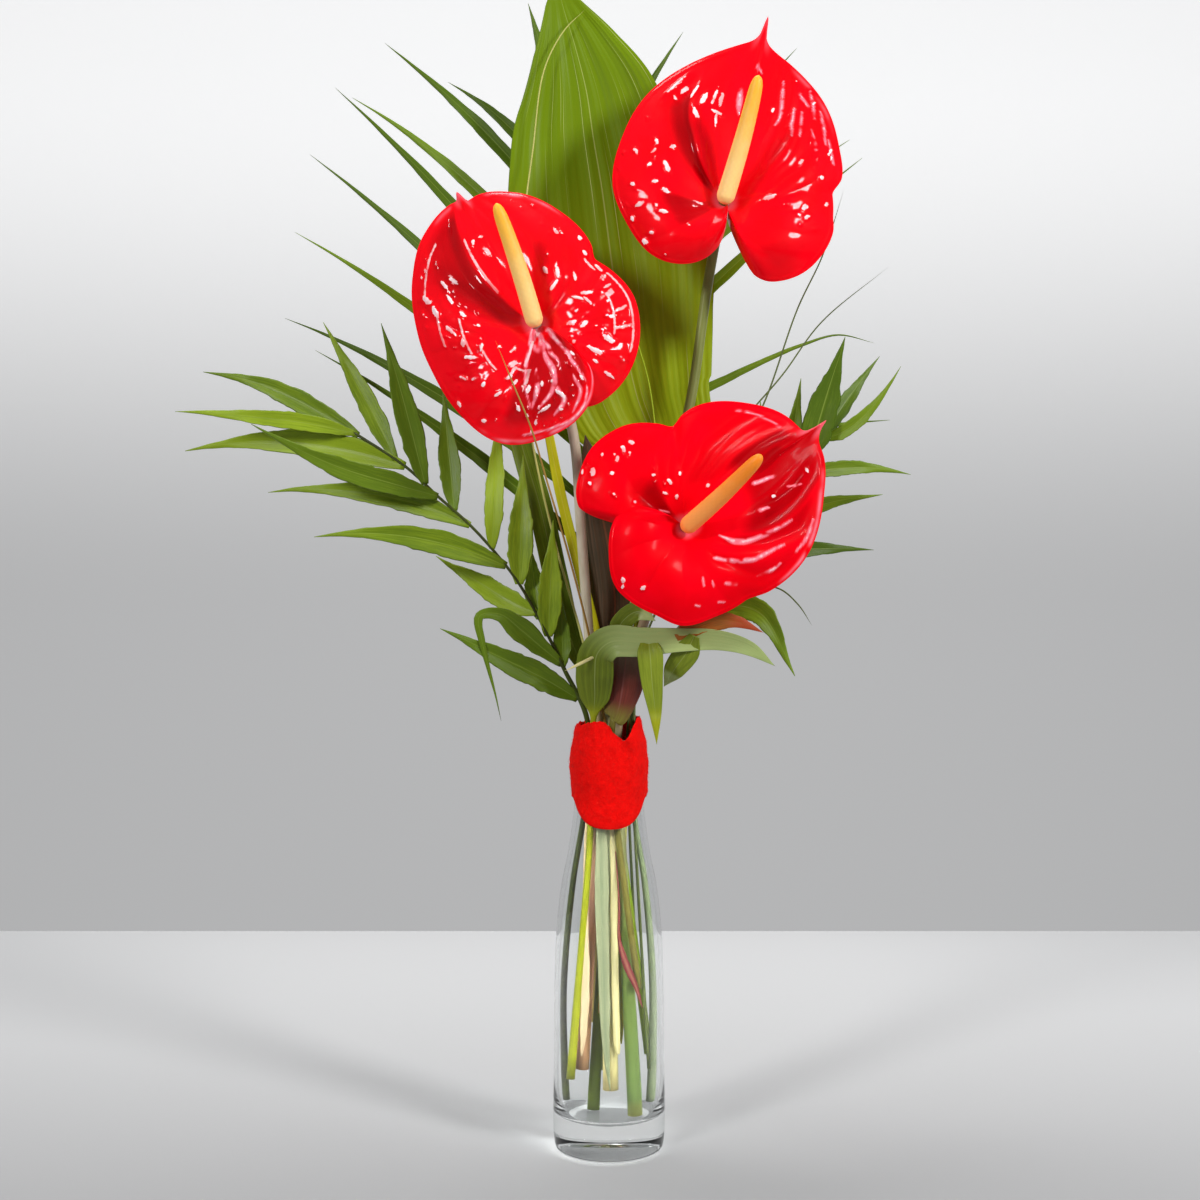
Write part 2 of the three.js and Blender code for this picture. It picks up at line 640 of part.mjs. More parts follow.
function leaf(name, { foot, slot, petiole, columns, cup, colour, blade: stations }) {
  const geometry = blade([...stalk(foot, slot, petiole), ...stations], { columns, cup });
  return part(name, geometry, colour);
}

function collarLeaf() {
  const { foot, slot, petiole, columns, cup, blade: stations, leaflets } = COLLAR_LEAF;
  const main = blade([...stalk(foot, slot, petiole), ...stations], { columns, cup });
  const hanging = leaflets.map((leaflet) => blade(leaflet, { columns: 2 }));
  return part('collar_leaf', fused([main, ...hanging]), 'leaf');
}

// One leaflet from its root inside the rib to its tip, folded along its middle.
function leaflet(root, [, tip, half, rise, elbow, pastElbow]) {
  const straight = new THREE.LineCurve3(root, vector(tip));
  const line = elbow ? new THREE.CatmullRomCurve3([root, vector(elbow), vector(tip)]) : straight;
  const stations = LEAFLET_WIDTHS.map(([share, width]) => {
    const point = line.getPointAt(share);
    const thickness = share < 1 ? LEAFLET.thickness : 0;
    const narrowed = elbow && share > LEAFLET.elbowShare ? width * pastElbow : width;
    return [point.x, point.y, point.z + 4 * rise * share * (1 - share), half * narrowed, thickness];
  });
  return blade(stations, { columns: 2, keel: LEAFLET.keel });
}

function frond(name, { feet, slot, ribRadius, footRadius, rib, leaflets, colour }) {
  const points = [...upright(feet, slot), ...rib];
  const shaft = bar(points, ribRadius, 6, 3 * points.length);
  const foot = flare(points, ribRadius, footRadius);
  const fromNeck = new THREE.CatmullRomCurve3([[...slot, NECK.high], ...rib].map(vector));
  const pinnae = leaflets.map((item) => leaflet(fromNeck.getPoint(item[0] / rib.length), item));
  return part(name, fused([shaft, foot, ...pinnae]), colour);
}

function grassBlade(name, { foot, slot, rise }) {
  const points = [...upright([foot], slot), ...rise];
  const last = points.length - 1;
  const stations = points.map((point, i) => {
    const taper = THREE.MathUtils.lerp(1, GRASS.tip, i / last);
    return i < last ? [...point, GRASS.half * taper, GRASS.thickness * taper] : [...point, 0, 0];
  });
  return part(name, blade(stations, { columns: 2 }), 'grass');
}

// ---- The bouquet ----

const bouquet = new THREE.Group();
bouquet.add(vase(), sleeve());
bouquet.add(...anthurium('anthurium_left', LEFT_FLOWER));
bouquet.add(...anthurium('anthurium_top', TOP_FLOWER));
bouquet.add(...anthurium('anthurium_right', RIGHT_FLOWER));
for (const [name, settings] of Object.entries(LEAVES)) {
  bouquet.add(leaf(name, settings));
}
bouquet.add(collarLeaf());
for (const [name, settings] of Object.entries(FRONDS)) {
  bouquet.add(frond(name, settings));
}
GRASS_BLADES.forEach((settings, i) => {
  bouquet.add(grassBlade(`bear_grass_${i + 1}`, settings));
});

export default bouquet;
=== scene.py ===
import math

import bmesh
import bpy
import numpy as np
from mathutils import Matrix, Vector


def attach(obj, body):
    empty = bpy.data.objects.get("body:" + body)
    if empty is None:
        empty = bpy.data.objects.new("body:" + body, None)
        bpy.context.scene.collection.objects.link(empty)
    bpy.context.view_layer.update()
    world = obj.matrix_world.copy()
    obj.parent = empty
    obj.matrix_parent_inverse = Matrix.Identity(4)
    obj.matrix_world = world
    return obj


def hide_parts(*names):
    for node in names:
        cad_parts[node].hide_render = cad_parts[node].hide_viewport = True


bl_info = {
    "name": "Anthurium Bouquet",
    "version": (1, 0, 0),
    "blender": (4, 5, 0),
    "location": "3D View > Sidebar > Bouquet",
    "description": "A tied bouquet of anthuriums, palm fronds and leaves in a glass vase with a felt sleeve",
    "category": "Object",
}

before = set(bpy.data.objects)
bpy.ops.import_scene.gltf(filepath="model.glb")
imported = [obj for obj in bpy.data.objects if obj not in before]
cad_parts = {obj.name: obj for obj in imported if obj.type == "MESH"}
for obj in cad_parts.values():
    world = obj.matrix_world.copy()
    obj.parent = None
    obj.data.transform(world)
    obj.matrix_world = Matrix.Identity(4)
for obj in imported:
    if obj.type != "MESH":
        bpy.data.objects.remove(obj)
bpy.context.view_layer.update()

# Lengths below are in millimetres in the frame of the packed model: +Z up, the front towards -Y.
MM = 0.001
FRONT = np.array((0.0, -1.0, 0.0))
BODY = "root"
# Points of a piece closer than this become one, and edges shorter than the second are closed up,
# both in metres.
MERGE_WITHIN, SHORTEST_EDGE = 2e-6, 1e-7
FIBRE_SEED, LEAFLET_SEED = 11, 5

# ---- Vase and sleeve ----

# (radius, height) up the outside and down the inside.
VASE_OUTER = [
    (25, 0), (29.5, 2), (31, 6.5), (31, 60), (30.7, 98), (29.4, 128), (26.8, 150),
    (23.4, 167), (20.6, 186), (18.6, 210), (17.7, 228), (16.7, 230),
]
VASE_INNER = [
    (15.6, 228.5), (15.8, 210), (17.8, 186), (20.7, 167), (24.1, 150), (26.7, 128),
    (28, 98), (28.3, 60), (28.3, 29), (26.3, 22.5), (20, 20), (0, 20),
]
GLASS_TOP = VASE_OUTER[-1][1]
SLEEVE_RADIUS = [
    (184, 22.9), (192, 22.4), (200, 21.6), (208, 22), (216, 22.3), (226, 21.6), (235, 19.9),
    (242, 18.3), (249, 16.9),
]
SLEEVE = {"thickness": 1.7, "clearance": 0.35, "hem": 200, "hem_dip": 16, "top": 246}
# The radius of a loose fibre, how deep its root sits in the felt, and the angles of its corners.
FIBRE_RADIUS, FIBRE_ROOT, THIRDS = 0.055, 0.2, (0, 2.094, 4.189)
NOTCH = {"angle": math.radians(-66), "width": math.radians(26), "depth": 11, "left_drop": 4}

# The stretch of the neck where every stem stands upright in its own place.
NECK_LOW, NECK_HIGH = 205, 243

# ---- Anthuriums: angles in degrees anticlockwise from the tip, seen from the front ----

# Veins arch from the heart to the tip, and each has its angle at the heart less its angle at the
# tip. A fold is a valley along one, its bottom painted a darker red as shade: (vein, width below it,
# width above it, depth, from, to), where from and to are shares of the way out. Furrows are (first
# vein, last vein, spacing, depth), their grooves painted darker as shade, and welts lie in zones of
# (first vein, last vein, from, to, how many of the places are taken); the crests of the larger welts
# are painted whitish as highlights. The painted shadows are zones painted a darker red where shade
# falls: (vein where one starts, where it is full, where it fades, where it ends, from, to, how dark).
# Lines are fine raised veins with painted whitish highlights on their crests: (first vein, last vein,
# from, to). Strokes are single long welts with painted whitish highlights on their crests:
# (millimetres right of the heart, above it, length, width, direction in degrees). The sheen streaks
# are raised lines painted pink and whitish as sheen, through (millimetres right of the heart, above
# it, half width). The rim highlights are pink lines painted on the rim as sheen: (first vein, last
# vein, how pale). The midrib's share says how deep the valley along it is.

STEM_RADIUS, SPATHE_HOLE, SPATHE_THICKNESS = 2.8, 2.95, 1.3
# How far a spathe winds forward from one side of its gap to the other, so that its lobes pass.
HELIX = 4
# The spathe's grid of points round the heart and outwards.
COLUMNS, ROWS = 440, 86
# The rolled rim's share of the way out, its width, and the width of the pink highlight line painted on it.
RIM, RIM_WIDTH, RIM_HIGHLIGHT_WIDTH = 0.972, 0.014, 0.013
# The square of a fine vein's half width.
LINE_SPREAD = 0.8
# The spadix's foot in front of the heart and towards the tip, and how far the spadix bows sideways.
SPADIX_FORWARD, SPADIX_UP, SPADIX_BOW = 8.8, 1.5, 0.72
# The stem's end in front of the heart.
STEM_END = 3.9
FLOWERS = {
    "left": {
        "heart": (-39.3, -52, 457.7), "tip_angle": 120.3, "near_side": 1, "bulge": 9,
        "lobe_lift": 5, "lean": -0.2, "spadix_tip": (-58.9, -80, 515.6), "spadix_radius": 4.8,
        "tip_pale": 0.35, "coat": (0.45, 0.05), "midrib": 0.5,
        "lines": [
            (-153, -113, 0.93, 0.93), (-145, -121, 0.74, 0.74), (-133, -133, 0.74, 0.88),
            (-142, -142, 0.74, 0.9), (-123, -121, 0.74, 0.82), (66, 90, 0.88, 0.88), (88, 106, 0.79, 0.79),
            (84, 110, 0.6, 0.6), (27, 29, 0.3, 0.72), (146, 146, 0.12, 0.34), (139, 152, 0.38, 0.38),
            (139, 139, 0.38, 0.5), (152, 152, 0.38, 0.5), (104, 128, 0.5, 0.5),
        ],
        "strokes": [
            (-44.2, 23.7, 6, 2.2, -42), (-49.3, 21.4, 6, 2, -55), (-46.1, 13.3, 6.5, 1.8, -55),
            (-38.6, 4.3, 4, 2, -40), (-59, 13.8, 6, 3, -50), (-53.9, 6.8, 7, 3, -60),
            (-45.1, -4.2, 8, 1.6, -45), (-38.3, -11, 4.5, 2.4, -80), (-34, -19.2, 7, 2, -5),
            (-28.3, -13.9, 5, 1.4, 80), (-11.7, -15.3, 4, 1.4, 45), (-11.2, -22.9, 5, 3, 20),
            (-10.2, -32.8, 4.4, 1.8, 50), (-19.4, -39.1, 5, 1.4, 35), (-27.2, -33.8, 3, 2, 70),
            (-38.3, -29.9, 5, 1.4, -25), (-40.8, -43, 4, 1.8, -60), (-27.4, -52.7, 2.6, 2, 0),
            (-3.4, -37.2, 4.6, 2.4, 65), (-8.7, -46.9, 4, 2, -65), (0.5, -54.2, 3, 1.6, 80),
            (13.6, -39.6, 6, 2, -35), (4.9, -47.6, 8, 1.6, 35), (10.7, 50.2, 3.6, 2.2, -55),
            (23.3, 47.3, 3, 2.2, -60), (26, 38.5, 3.4, 2, -60), (33.5, 30.3, 6, 1.8, -45),
            (28.6, 31.8, 9, 1.4, -50), (5.3, 27.9, 4.6, 2.4, -65), (11.6, 27.4, 8, 2, -80),
            (9.7, 19.6, 7, 1.8, 55), (20.9, 24.5, 6, 1.6, -75), (-26.2, 39.5, 7, 2.6, -50),
            (-34, 45.3, 3, 2, 80), (-30.6, 48, 4, 1.4, 10), (22.8, 12.3, 7, 1.4, -15),
            (27.2, 15.2, 7, 2, 10), (27.7, 10.9, 6, 1.4, -45), (19.4, -0.8, 6, 2.6, 15),
            (26, -1.7, 5, 2.2, 35), (38.3, -9.3, 7, 3, -35), (31.6, -15.8, 9, 2.4, -25),
            (39.3, -28.4, 6, 1.8, -35), (38, 19.6, 6, 1.4, 30),
        ],
        "folds": [
            (50, 13, 20, 3.6, 0.03, 0.93), (145, 5, 6, 1.3, 0.08, 0.5), (-86, 7, 8, 1.8, 0.15, 0.75),
        ],
        "painted_shadows": [
            (28, 34, 60, 90, 0.05, 0.94, 0.8), (139, 143, 148, 151, 0.1, 0.5, 0.8),
            (-100, -92, -80, -72, 0.12, 0.7, 0.3), (100, 112, 124, 136, 0.55, 0.8, 0.25),
            (146, 152, 198, 206, 0.2, 0.84, 0.75),
        ],
        "sheen_streaks": [
            [(0, -1, 1.6), (1.3, -8, 3.6), (1.8, -14, 4.6)],
            [(-2, -3, 0.7), (-3.2, -13.5, 1.6), (-4.5, -23.4, 1.2), (-5.3, -35, 0.7), (-2, -46.7, 0.7)],
            [(2.2, -13.5, 2), (7.1, -21.8, 1.9), (10.5, -30, 1.7), (9.1, -38.4, 1.5), (2.2, -46.7, 0.7)],
            [(3.8, -10, 1.6), (10.5, -20, 1.3), (13.8, -26.7, 0.7)],
            [(6.3, -5, 1.6), (13.8, -13.5, 1.2), (22.9, -26.7, 1.1), (27, -33.4, 0.7)],
            [(0.5, -26.7, 0.7), (1.3, -36.7, 1.5), (-1.2, -46.7, 0.7)],
            [(12, -36.7, 1.2), (15.4, -43.4, 1.6), (10.5, -50, 0.7)],
            [(20.4, -30, 0.7), (23.8, -38.4, 1.3), (20.4, -48.3, 0.7)],
            [(27, -36, 0.7), (26.6, -43.4, 1.1), (20.4, -51.7, 1.1), (7.1, -57.5, 0.7), (-6, -60.8, 0.7)],
        ],
        "rim_highlights": [(-82, -56, 0.8), (150, 204, 0.9), (44, 70, 0.3)],
        "furrows": [(58, 126, 17, 0.7), (-162, -100, 13, 0.8)],
        "welts": [
            (64, 102, 0.42, 0.93, 0.4), (104, 150, 0.32, 0.86, 0.22), (-84, -50, 0.3, 0.66, 0.25),
            (-104, -60, 0.7, 0.95, 0.2), (-166, -108, 0.3, 0.96, 0.5), (156, 200, 0.5, 0.92, 0.95),
        ],
        "outline": [
            (-213, 13), (-205, 27.3), (-190, 45.9), (-170, 54.7), (-146, 56.4), (-108, 54.9),
            (-82, 49.8), (-72, 48), (-64, 53.2), (-42, 64.4), (-21, 75.6), (-6, 80.5), (-2, 80),
            (0, 87.5), (2, 83), (5, 83.5), (20, 80.5), (38, 72.8), (65, 63.9), (87, 61.1),
            (107, 62.8), (134, 67.1), (156, 62.1), (176, 55.8), (197, 41.7), (204, 30.9), (210, 17.2),
        ],
        "foot": (-15, -4, 47), "foot_radius": 3.8, "slot": (-6.5, -1.5),
        "rise": [(-11.3, -8, 291), (-15.6, -20, 349), (-20, -33, 402), (-32, -40, 439), (-38.4, -42.5, 454)],
    },
    "top": {
        "heart": (62.8, -30, 528.1), "tip_angle": 76.4, "near_side": 1, "bulge": 9,
        "lobe_lift": 3, "lean": -0.2, "spadix_tip": (79.2, -58, 588.8), "spadix_radius": 5,
        "tip_pale": 0.2, "coat": (0.3, 0.05), "midrib": 1,
        "sheen_streaks": [
            [(10, 65, 1.6), (9, 57, 2.2), (8.6, 51, 0.7)],
            [(34, 71, 0.7), (33, 60, 1.4), (31.5, 48.8, 1.1), (28.5, 43.5, 0.7)],
            [(40, 54, 0.7), (38, 46, 1.2), (37.4, 37, 0.7)],
            [(44, 52.2, 0.7), (42.8, 44, 1.1), (41.4, 36.9, 0.7)],
            [(49.3, 65.8, 0.7), (50.6, 57, 1.2), (51, 48.8, 0.7)],
            [(54.4, 53.9, 0.7), (56, 44, 1.3), (57, 33.5, 0.7)],
            [(58.7, 36.9, 0.7), (61.2, 23.3, 1.1)],
            [(49.3, 42, 0.7), (51, 30, 1.1)],
            [(42.5, 64.1, 0.7), (47.6, 55.6, 1.1)],
            [(20.4, 80, 1.4), (22, 76, 0.7)],
        ],
        "strokes": [
            (-25.9, 67.8, 16, 1.3, 44), (-20.9, 64.8, 6, 2.8, 35), (-26.4, 59.8, 4, 1.6, -60),
            (-15.4, 63.8, 10, 1.6, 60), (-10.9, 58.3, 9, 2.6, 60), (-15.4, 49.4, 7, 2.8, -65),
            (-4.7, 59.8, 11, 1.5, 70), (-1, 58.8, 8, 2.4, 75), (-3.5, 50.8, 6, 2, -20),
            (-4.2, 46.4, 8, 1.5, 85), (-31.8, 17.5, 8, 2.4, -68), (-38.6, 27, 4, 1.6, 40),
            (-28.2, 29, 3.4, 2, 30), (-41.1, 19, 3, 1.6, 30), (-38.3, 9, 3.2, 2, 0), (-50, 8.6, 2.2, 2, 0),
            (-32.3, 3.6, 4, 2.4, -45), (-46.3, -2.9, 5, 2.2, 20), (-50.5, -10.3, 3.2, 1.8, -70),
            (-34, -8, 6, 2, -15), (-40.1, -19, 2.6, 1.8, 0), (-43.5, -23.3, 4, 2.4, -50),
            (23.4, 0.8, 8, 2.2, 18), (53.7, 14, 3, 2, 30), (43.8, -3.9, 4, 2.6, 40),
            (44.8, -9.4, 4.5, 2, 40), (56.7, -0.4, 3, 2, 60), (59.2, 29.5, 5, 1.8, 60),
        ],
        "folds": [
            (62, 6, 13, 3.6, 0.05, 0.86), (130, 12, 12, 1.8, 0.08, 0.52), (-44, 5, 6, 1.2, 0.3, 0.92),
            (-68, 5, 6, 1.3, 0.3, 0.95),
        ],
        "painted_shadows": [
            (55, 58, 67, 80, 0.1, 0.8, 0.95), (110, 118, 140, 152, 0.12, 0.55, 0.8),
            (-88, -80, -74, -66, 0.3, 0.75, 0.3), (-150, -142, -122, -112, 0.6, 0.85, 0.25),
            (-50, -42, -38, -34, 0.4, 0.9, 0.25),
        ],
        "rim_highlights": [(-78, -48, 0.3)],
        "furrows": [(-104, -22, 15, 0.8)],
        "welts": [
            (84, 168, 0.45, 0.95, 0.2), (60, 82, 0.72, 0.95, 0.3), (-86, -20, 0.55, 0.97, 0.3),
            (-116, -86, 0.4, 0.9, 0.15),
        ],
        "outline": [
            (-153, 9), (-150, 20), (-144, 43.8), (-130, 53.9), (-111, 59.9), (-91, 62.3),
            (-82, 60.9), (-71, 60.8), (-63, 67.9), (-49, 73.2), (-31, 82.3), (-12, 90.7), (-4, 95.5),
            (-1.2, 100.5), (0, 114), (1.2, 102.5), (3, 98), (6, 95), (25, 83.8), (47, 75.6),
            (71, 66.9), (94, 62), (117, 54.7), (142, 49.7), (164, 40.8), (184, 27.4), (198, 12.9), (204, 8),
        ],
        "foot": (0.8, -7, 36), "foot_radius": 4.4, "slot": (-0.55, -2.5),
        "rise": [(9, -1, 288), (23, -1, 338), (36, 0, 385), (46, 0, 423), (55, -5, 485), (60.4, -16, 517)],
    },
    "right": {
        "heart": (40.5, -58, 349), "tip_angle": 37.4, "near_side": -1, "bulge": 8,
        "lobe_lift": 5, "lean": -0.2, "spadix_tip": (77.2, -95, 384), "spadix_radius": 4.8,
        "tip_pale": 0.45, "coat": (0.03, 0.06), "midrib": 0.8,
        "sheen_streaks": [
            [(17.2, -4.8, 0.7), (27.5, -8, 1.8), (40.2, -4.8, 1.6), (49.8, 0, 1.2), (56.9, 4, 0.7)],
            [(14.8, -15.9, 1.2), (24.3, -18.3, 1.4), (35.5, -17.2, 1.6), (45, -12.7, 1.4), (52.2, -9.5, 0.7)],
            [(59.3, -12.7, 0.7), (65.7, -4.8, 1.4), (69.2, 4.8, 0.7)],
            [(37.8, -26.2, 0.7), (46.6, -22.3, 1.3), (50.6, -19.1, 0.7)],
            [(21, -29.9, 1.3), (26, -30.5, 1.3)], [(8.4, -27, 0.7), (9.2, -31, 0.7)],
            [(13.5, -28.6, 0.7), (14.5, -31.8, 0.7)],
            [(4.5, -41.4, 0.7), (7, -42, 0.7)], [(17, -39.6, 0.7), (20, -40, 0.7)],
            [(40.2, 9.5, 1.4), (44, 10.3, 0.7)], [(55.3, 22.3, 0.7), (62.5, 23.9, 0.7)],
            [(37, 23.9, 1.4), (48.2, 27.8, 1.2)], [(-13.8, 8.7, 0.7), (-9, 7.6, 0.7)],
            [(27.5, 63.5, 0.7), (40.2, 61.2, 0.9), (52, 54.6, 0.7)],
        ],
        "strokes": [
            (-29.2, 45.1, 4, 2.4, -25), (-33.1, 41.1, 4, 2, -60), (-36.6, 35.8, 3.4, 2, 80),
            (-44.4, 38.2, 2.4, 1.4, 80), (-49.3, 29, 4.6, 2.8, 80), (-55, 29, 2.4, 1.5, 80),
            (-51, 22.8, 2.6, 1.5, -50), (-39.2, 28.1, 2.6, 2, 0), (-17.2, 27.1, 2.2, 1.6, 0),
            (-3.4, 28.1, 2.6, 1.6, 80), (-9, 23.7, 4, 1.8, -50), (-10.9, 17.5, 3, 1.8, -30),
            (-5.1, 15.8, 2.4, 1.6, 80), (11.5, 22, 2.6, 1.8, 70), (66, 31.4, 3, 1.6, -60),
            (-33.6, -28.4, 3, 2, 80), (-33.6, -31.7, 2.4, 1.6, 60), (-23, -32.4, 3.4, 2, 50),
        ],
        "folds": [
            (9, 8, 9, 1.4, 0.45, 0.93), (-40, 8, 8, 2.2, 0.3, 0.9), (-71, 7, 8, 2, 0.2, 0.95),
            (-95, 6, 7, 1.6, 0.25, 0.95), (122, 13, 14, 3.6, 0.04, 0.5),
        ],
        "painted_shadows": [
            (-64, -56, 14, 28, 0.42, 0.97, 0.75), (-6, 0, 12, 20, 0.46, 0.84, 1),
            (13, 18, 27, 34, 0.48, 0.93, 0.9), (96, 106, 124, 136, 0.08, 0.44, 0.9),
            (-56, -50, -38, -32, 0.5, 0.86, 0.95), (-76, -72, -66, -60, 0.3, 0.9, 0.5),
            (26, 40, 60, 74, 0.3, 0.9, 0.25), (-84, -79, -70, -64, 0.4, 0.95, 0.3),
            (-104, -99, -93, -88, 0.4, 0.95, 0.25),
        ],
        "rim_highlights": [(-100, -60, 0.8)],
        "furrows": [(40, 96, 12, 0.4)],
        "welts": [
            (100, 148, 0.4, 0.97, 0.2), (74, 100, 0.25, 0.5, 0.25), (-52, -10, 0.5, 0.9, 0.12),
        ],
        "outline": [
            (-248, 16.7), (-238, 31), (-227, 37), (-199, 43.3), (-172, 49.6), (-149, 49.3), (-129, 52.4),
            (-107, 50), (-89, 50.3), (-74, 56.6), (-50, 67.5), (-25, 77.2), (-10, 85.4), (-5, 87),
            (-2.4, 90), (-1.2, 93), (0, 97.5), (0.5, 90), (1.2, 85.5), (2.5, 83.5), (9, 82.7), (27, 75.4),
            (46, 66.8), (54, 60.9), (60, 54.9), (67, 57.6), (86, 64), (101, 65.5), (116, 63.3), (132, 57.9),
            (136, 50), (139, 40), (146, 24.9), (151, 11.8),
        ],
        "foot": (14.5, -10, 21.4), "foot_radius": 4.2, "slot": (5.2, -3.6),
        "rise": [(12.5, -8, 272), (20, -18, 300), (31, -36, 328), (37.5, -47, 342)],
    },
}

# ---- Leaves: stations from the cut end to the tip (x, y, z, half width, thickness) ----

LEAVES = {
    "aspidistra_leaf": {
        "foot": (23, 9, 52), "slot": (3.85, 5.25), "petiole": (2.2, 2.6), "cup": 0.1,
        "finish": "aspidistra", "columns": 84,
        "stations": [
            (9.7, 10, 276, 3, 3), (15.5, 13, 310, 8, 1.8), (21.3, 16, 356, 23, 1.4),
            (24.3, 20, 403, 35.2, 1.3), (16.3, 22, 428, 44.5, 1.3), (7.7, 24, 467, 53.3, 1.3),
            (1.9, 24, 504.5, 58.5, 1.3), (-3.9, 24, 548, 55, 1.3), (-9, 22, 578, 48, 1.3),
            (-13, 19.5, 604, 38.5, 1.3), (-19.5, 16.5, 629, 25, 1.2), (-27, 13, 653, 9.7, 1.1),
            (-30, 11, 667.7, 0, 0),
        ],
    },
    "strap_leaf": {
        "foot": (-17, 11, 60), "slot": (-6.1, 4.2), "petiole": (2, 2.4), "cup": 0.3, "finish": "strap",
        "kind": "dark_leaf",
        "stations": [
            (-13, 8, 268, 3, 2.4), (-21, 10, 286, 6, 1.6), (-30, 11, 322, 7, 1.4), (-39, 12, 362, 7, 1.4),
            (-49, 12, 396, 6.5, 1.4), (-58, 9, 430, 4.5, 1.3), (-66, 2, 463, 0, 0),
        ],
    },
    "cordyline_leaf": {
        "foot": (-9, 0.5, 20.7), "slot": (0.7, 2.2), "petiole": (1.8, 3.6), "cup": -0.15,
        "finish": "cordyline", "kind": "bronze_leaf",
        "stations": [
            (1.5, 5, 262, 4, 2), (2, 5.5, 285, 10, 1.4), (3.4, 6, 310, 14, 1.3), (0.5, 6.5, 335, 14, 1.3),
            (-3.4, 7, 356, 12.5, 1.3), (-9.6, 7, 384, 7.5, 1.3), (-13.6, 6, 404.5, 0, 0),
        ],
    },
    "striped_blade": {
        "foot": (-9, 9, 70), "slot": (-2.7, 2.9), "petiole": (1.3, 1.6), "cup": 0.4,
        "finish": "striped", "kind": "striped_leaf",
        "stations": [
            (-5.1, 4, 282, 2, 2), (-15.2, 2, 321.6, 3, 1.4), (-26.6, 0, 366.8, 3, 1.4),
            (-33.3, -3, 400.6, 2.6, 1.3), (-38.8, -6, 433.9, 0, 0),
        ],
    },
    "bronze_leaf": {
        "foot": (16, -14, 94), "slot": (2.2, -13.1), "petiole": (1.8, 1.9), "cup": -0.35,
        "finish": "bronze", "kind": "bronze_leaf",
        "stations": [
            (3, -13.4, 244, 6.4, 1.5), (5.5, -14.2, 251, 8.5, 1.5), (7.7, -16.5, 264, 11.5, 1.4),
            (9, -18.5, 278, 10.5, 1.3), (7, -20, 290, 0, 0),
        ],
    },
}
COLLAR_LEAF = {
    "foot": (-21, -12, 43.5), "slot": (-8.8, -10), "petiole": (1.7, 2.3), "cup": 0.12,
    "stations": [
        (-8, -16, 257, 8.5, 1.5), (-8, -23.5, 269, 10.5, 1.4), (-6.5, -30, 281, 10, 1.3),
        (1, -35, 287.5, 9, 1.3), (16.6, -37, 287.5, 8, 1.3), (38, -38, 288.6, 6.5, 1.3),
        (59, -37, 288.5, 5.5, 1.3), (76, -34, 284, 4, 1.2), (91, -28, 274, 0, 0),
    ],
    "leaflets": [
        [(21, -35.5, 290, 3, 1.3), (22, -39.5, 281, 7, 1.3), (23, -38.5, 267, 6, 1.3),
         (25, -34.5, 249, 3.5, 1.2), (26, -29, 231, 0, 0)],
        [(46, -39.5, 291, 3, 1.3), (42, -36.5, 282, 7, 1.3), (36, -31, 273, 6, 1.3), (30, -24, 262.5, 0, 0)],
        [(4, -33.8, 288, 2.4, 1.2), (6, -33.6, 297, 5.5, 1.3),
         (15, -37, 304, 5.5, 1.3), (25, -41, 299, 0, 0)],
    ],
    "spur": [(-8, -28, 279.5, 0.9, 1.2), (-16, -31.5, 275.5, 0.9, 1.2), (-24.5, -33, 271.5, 0, 0)],
}

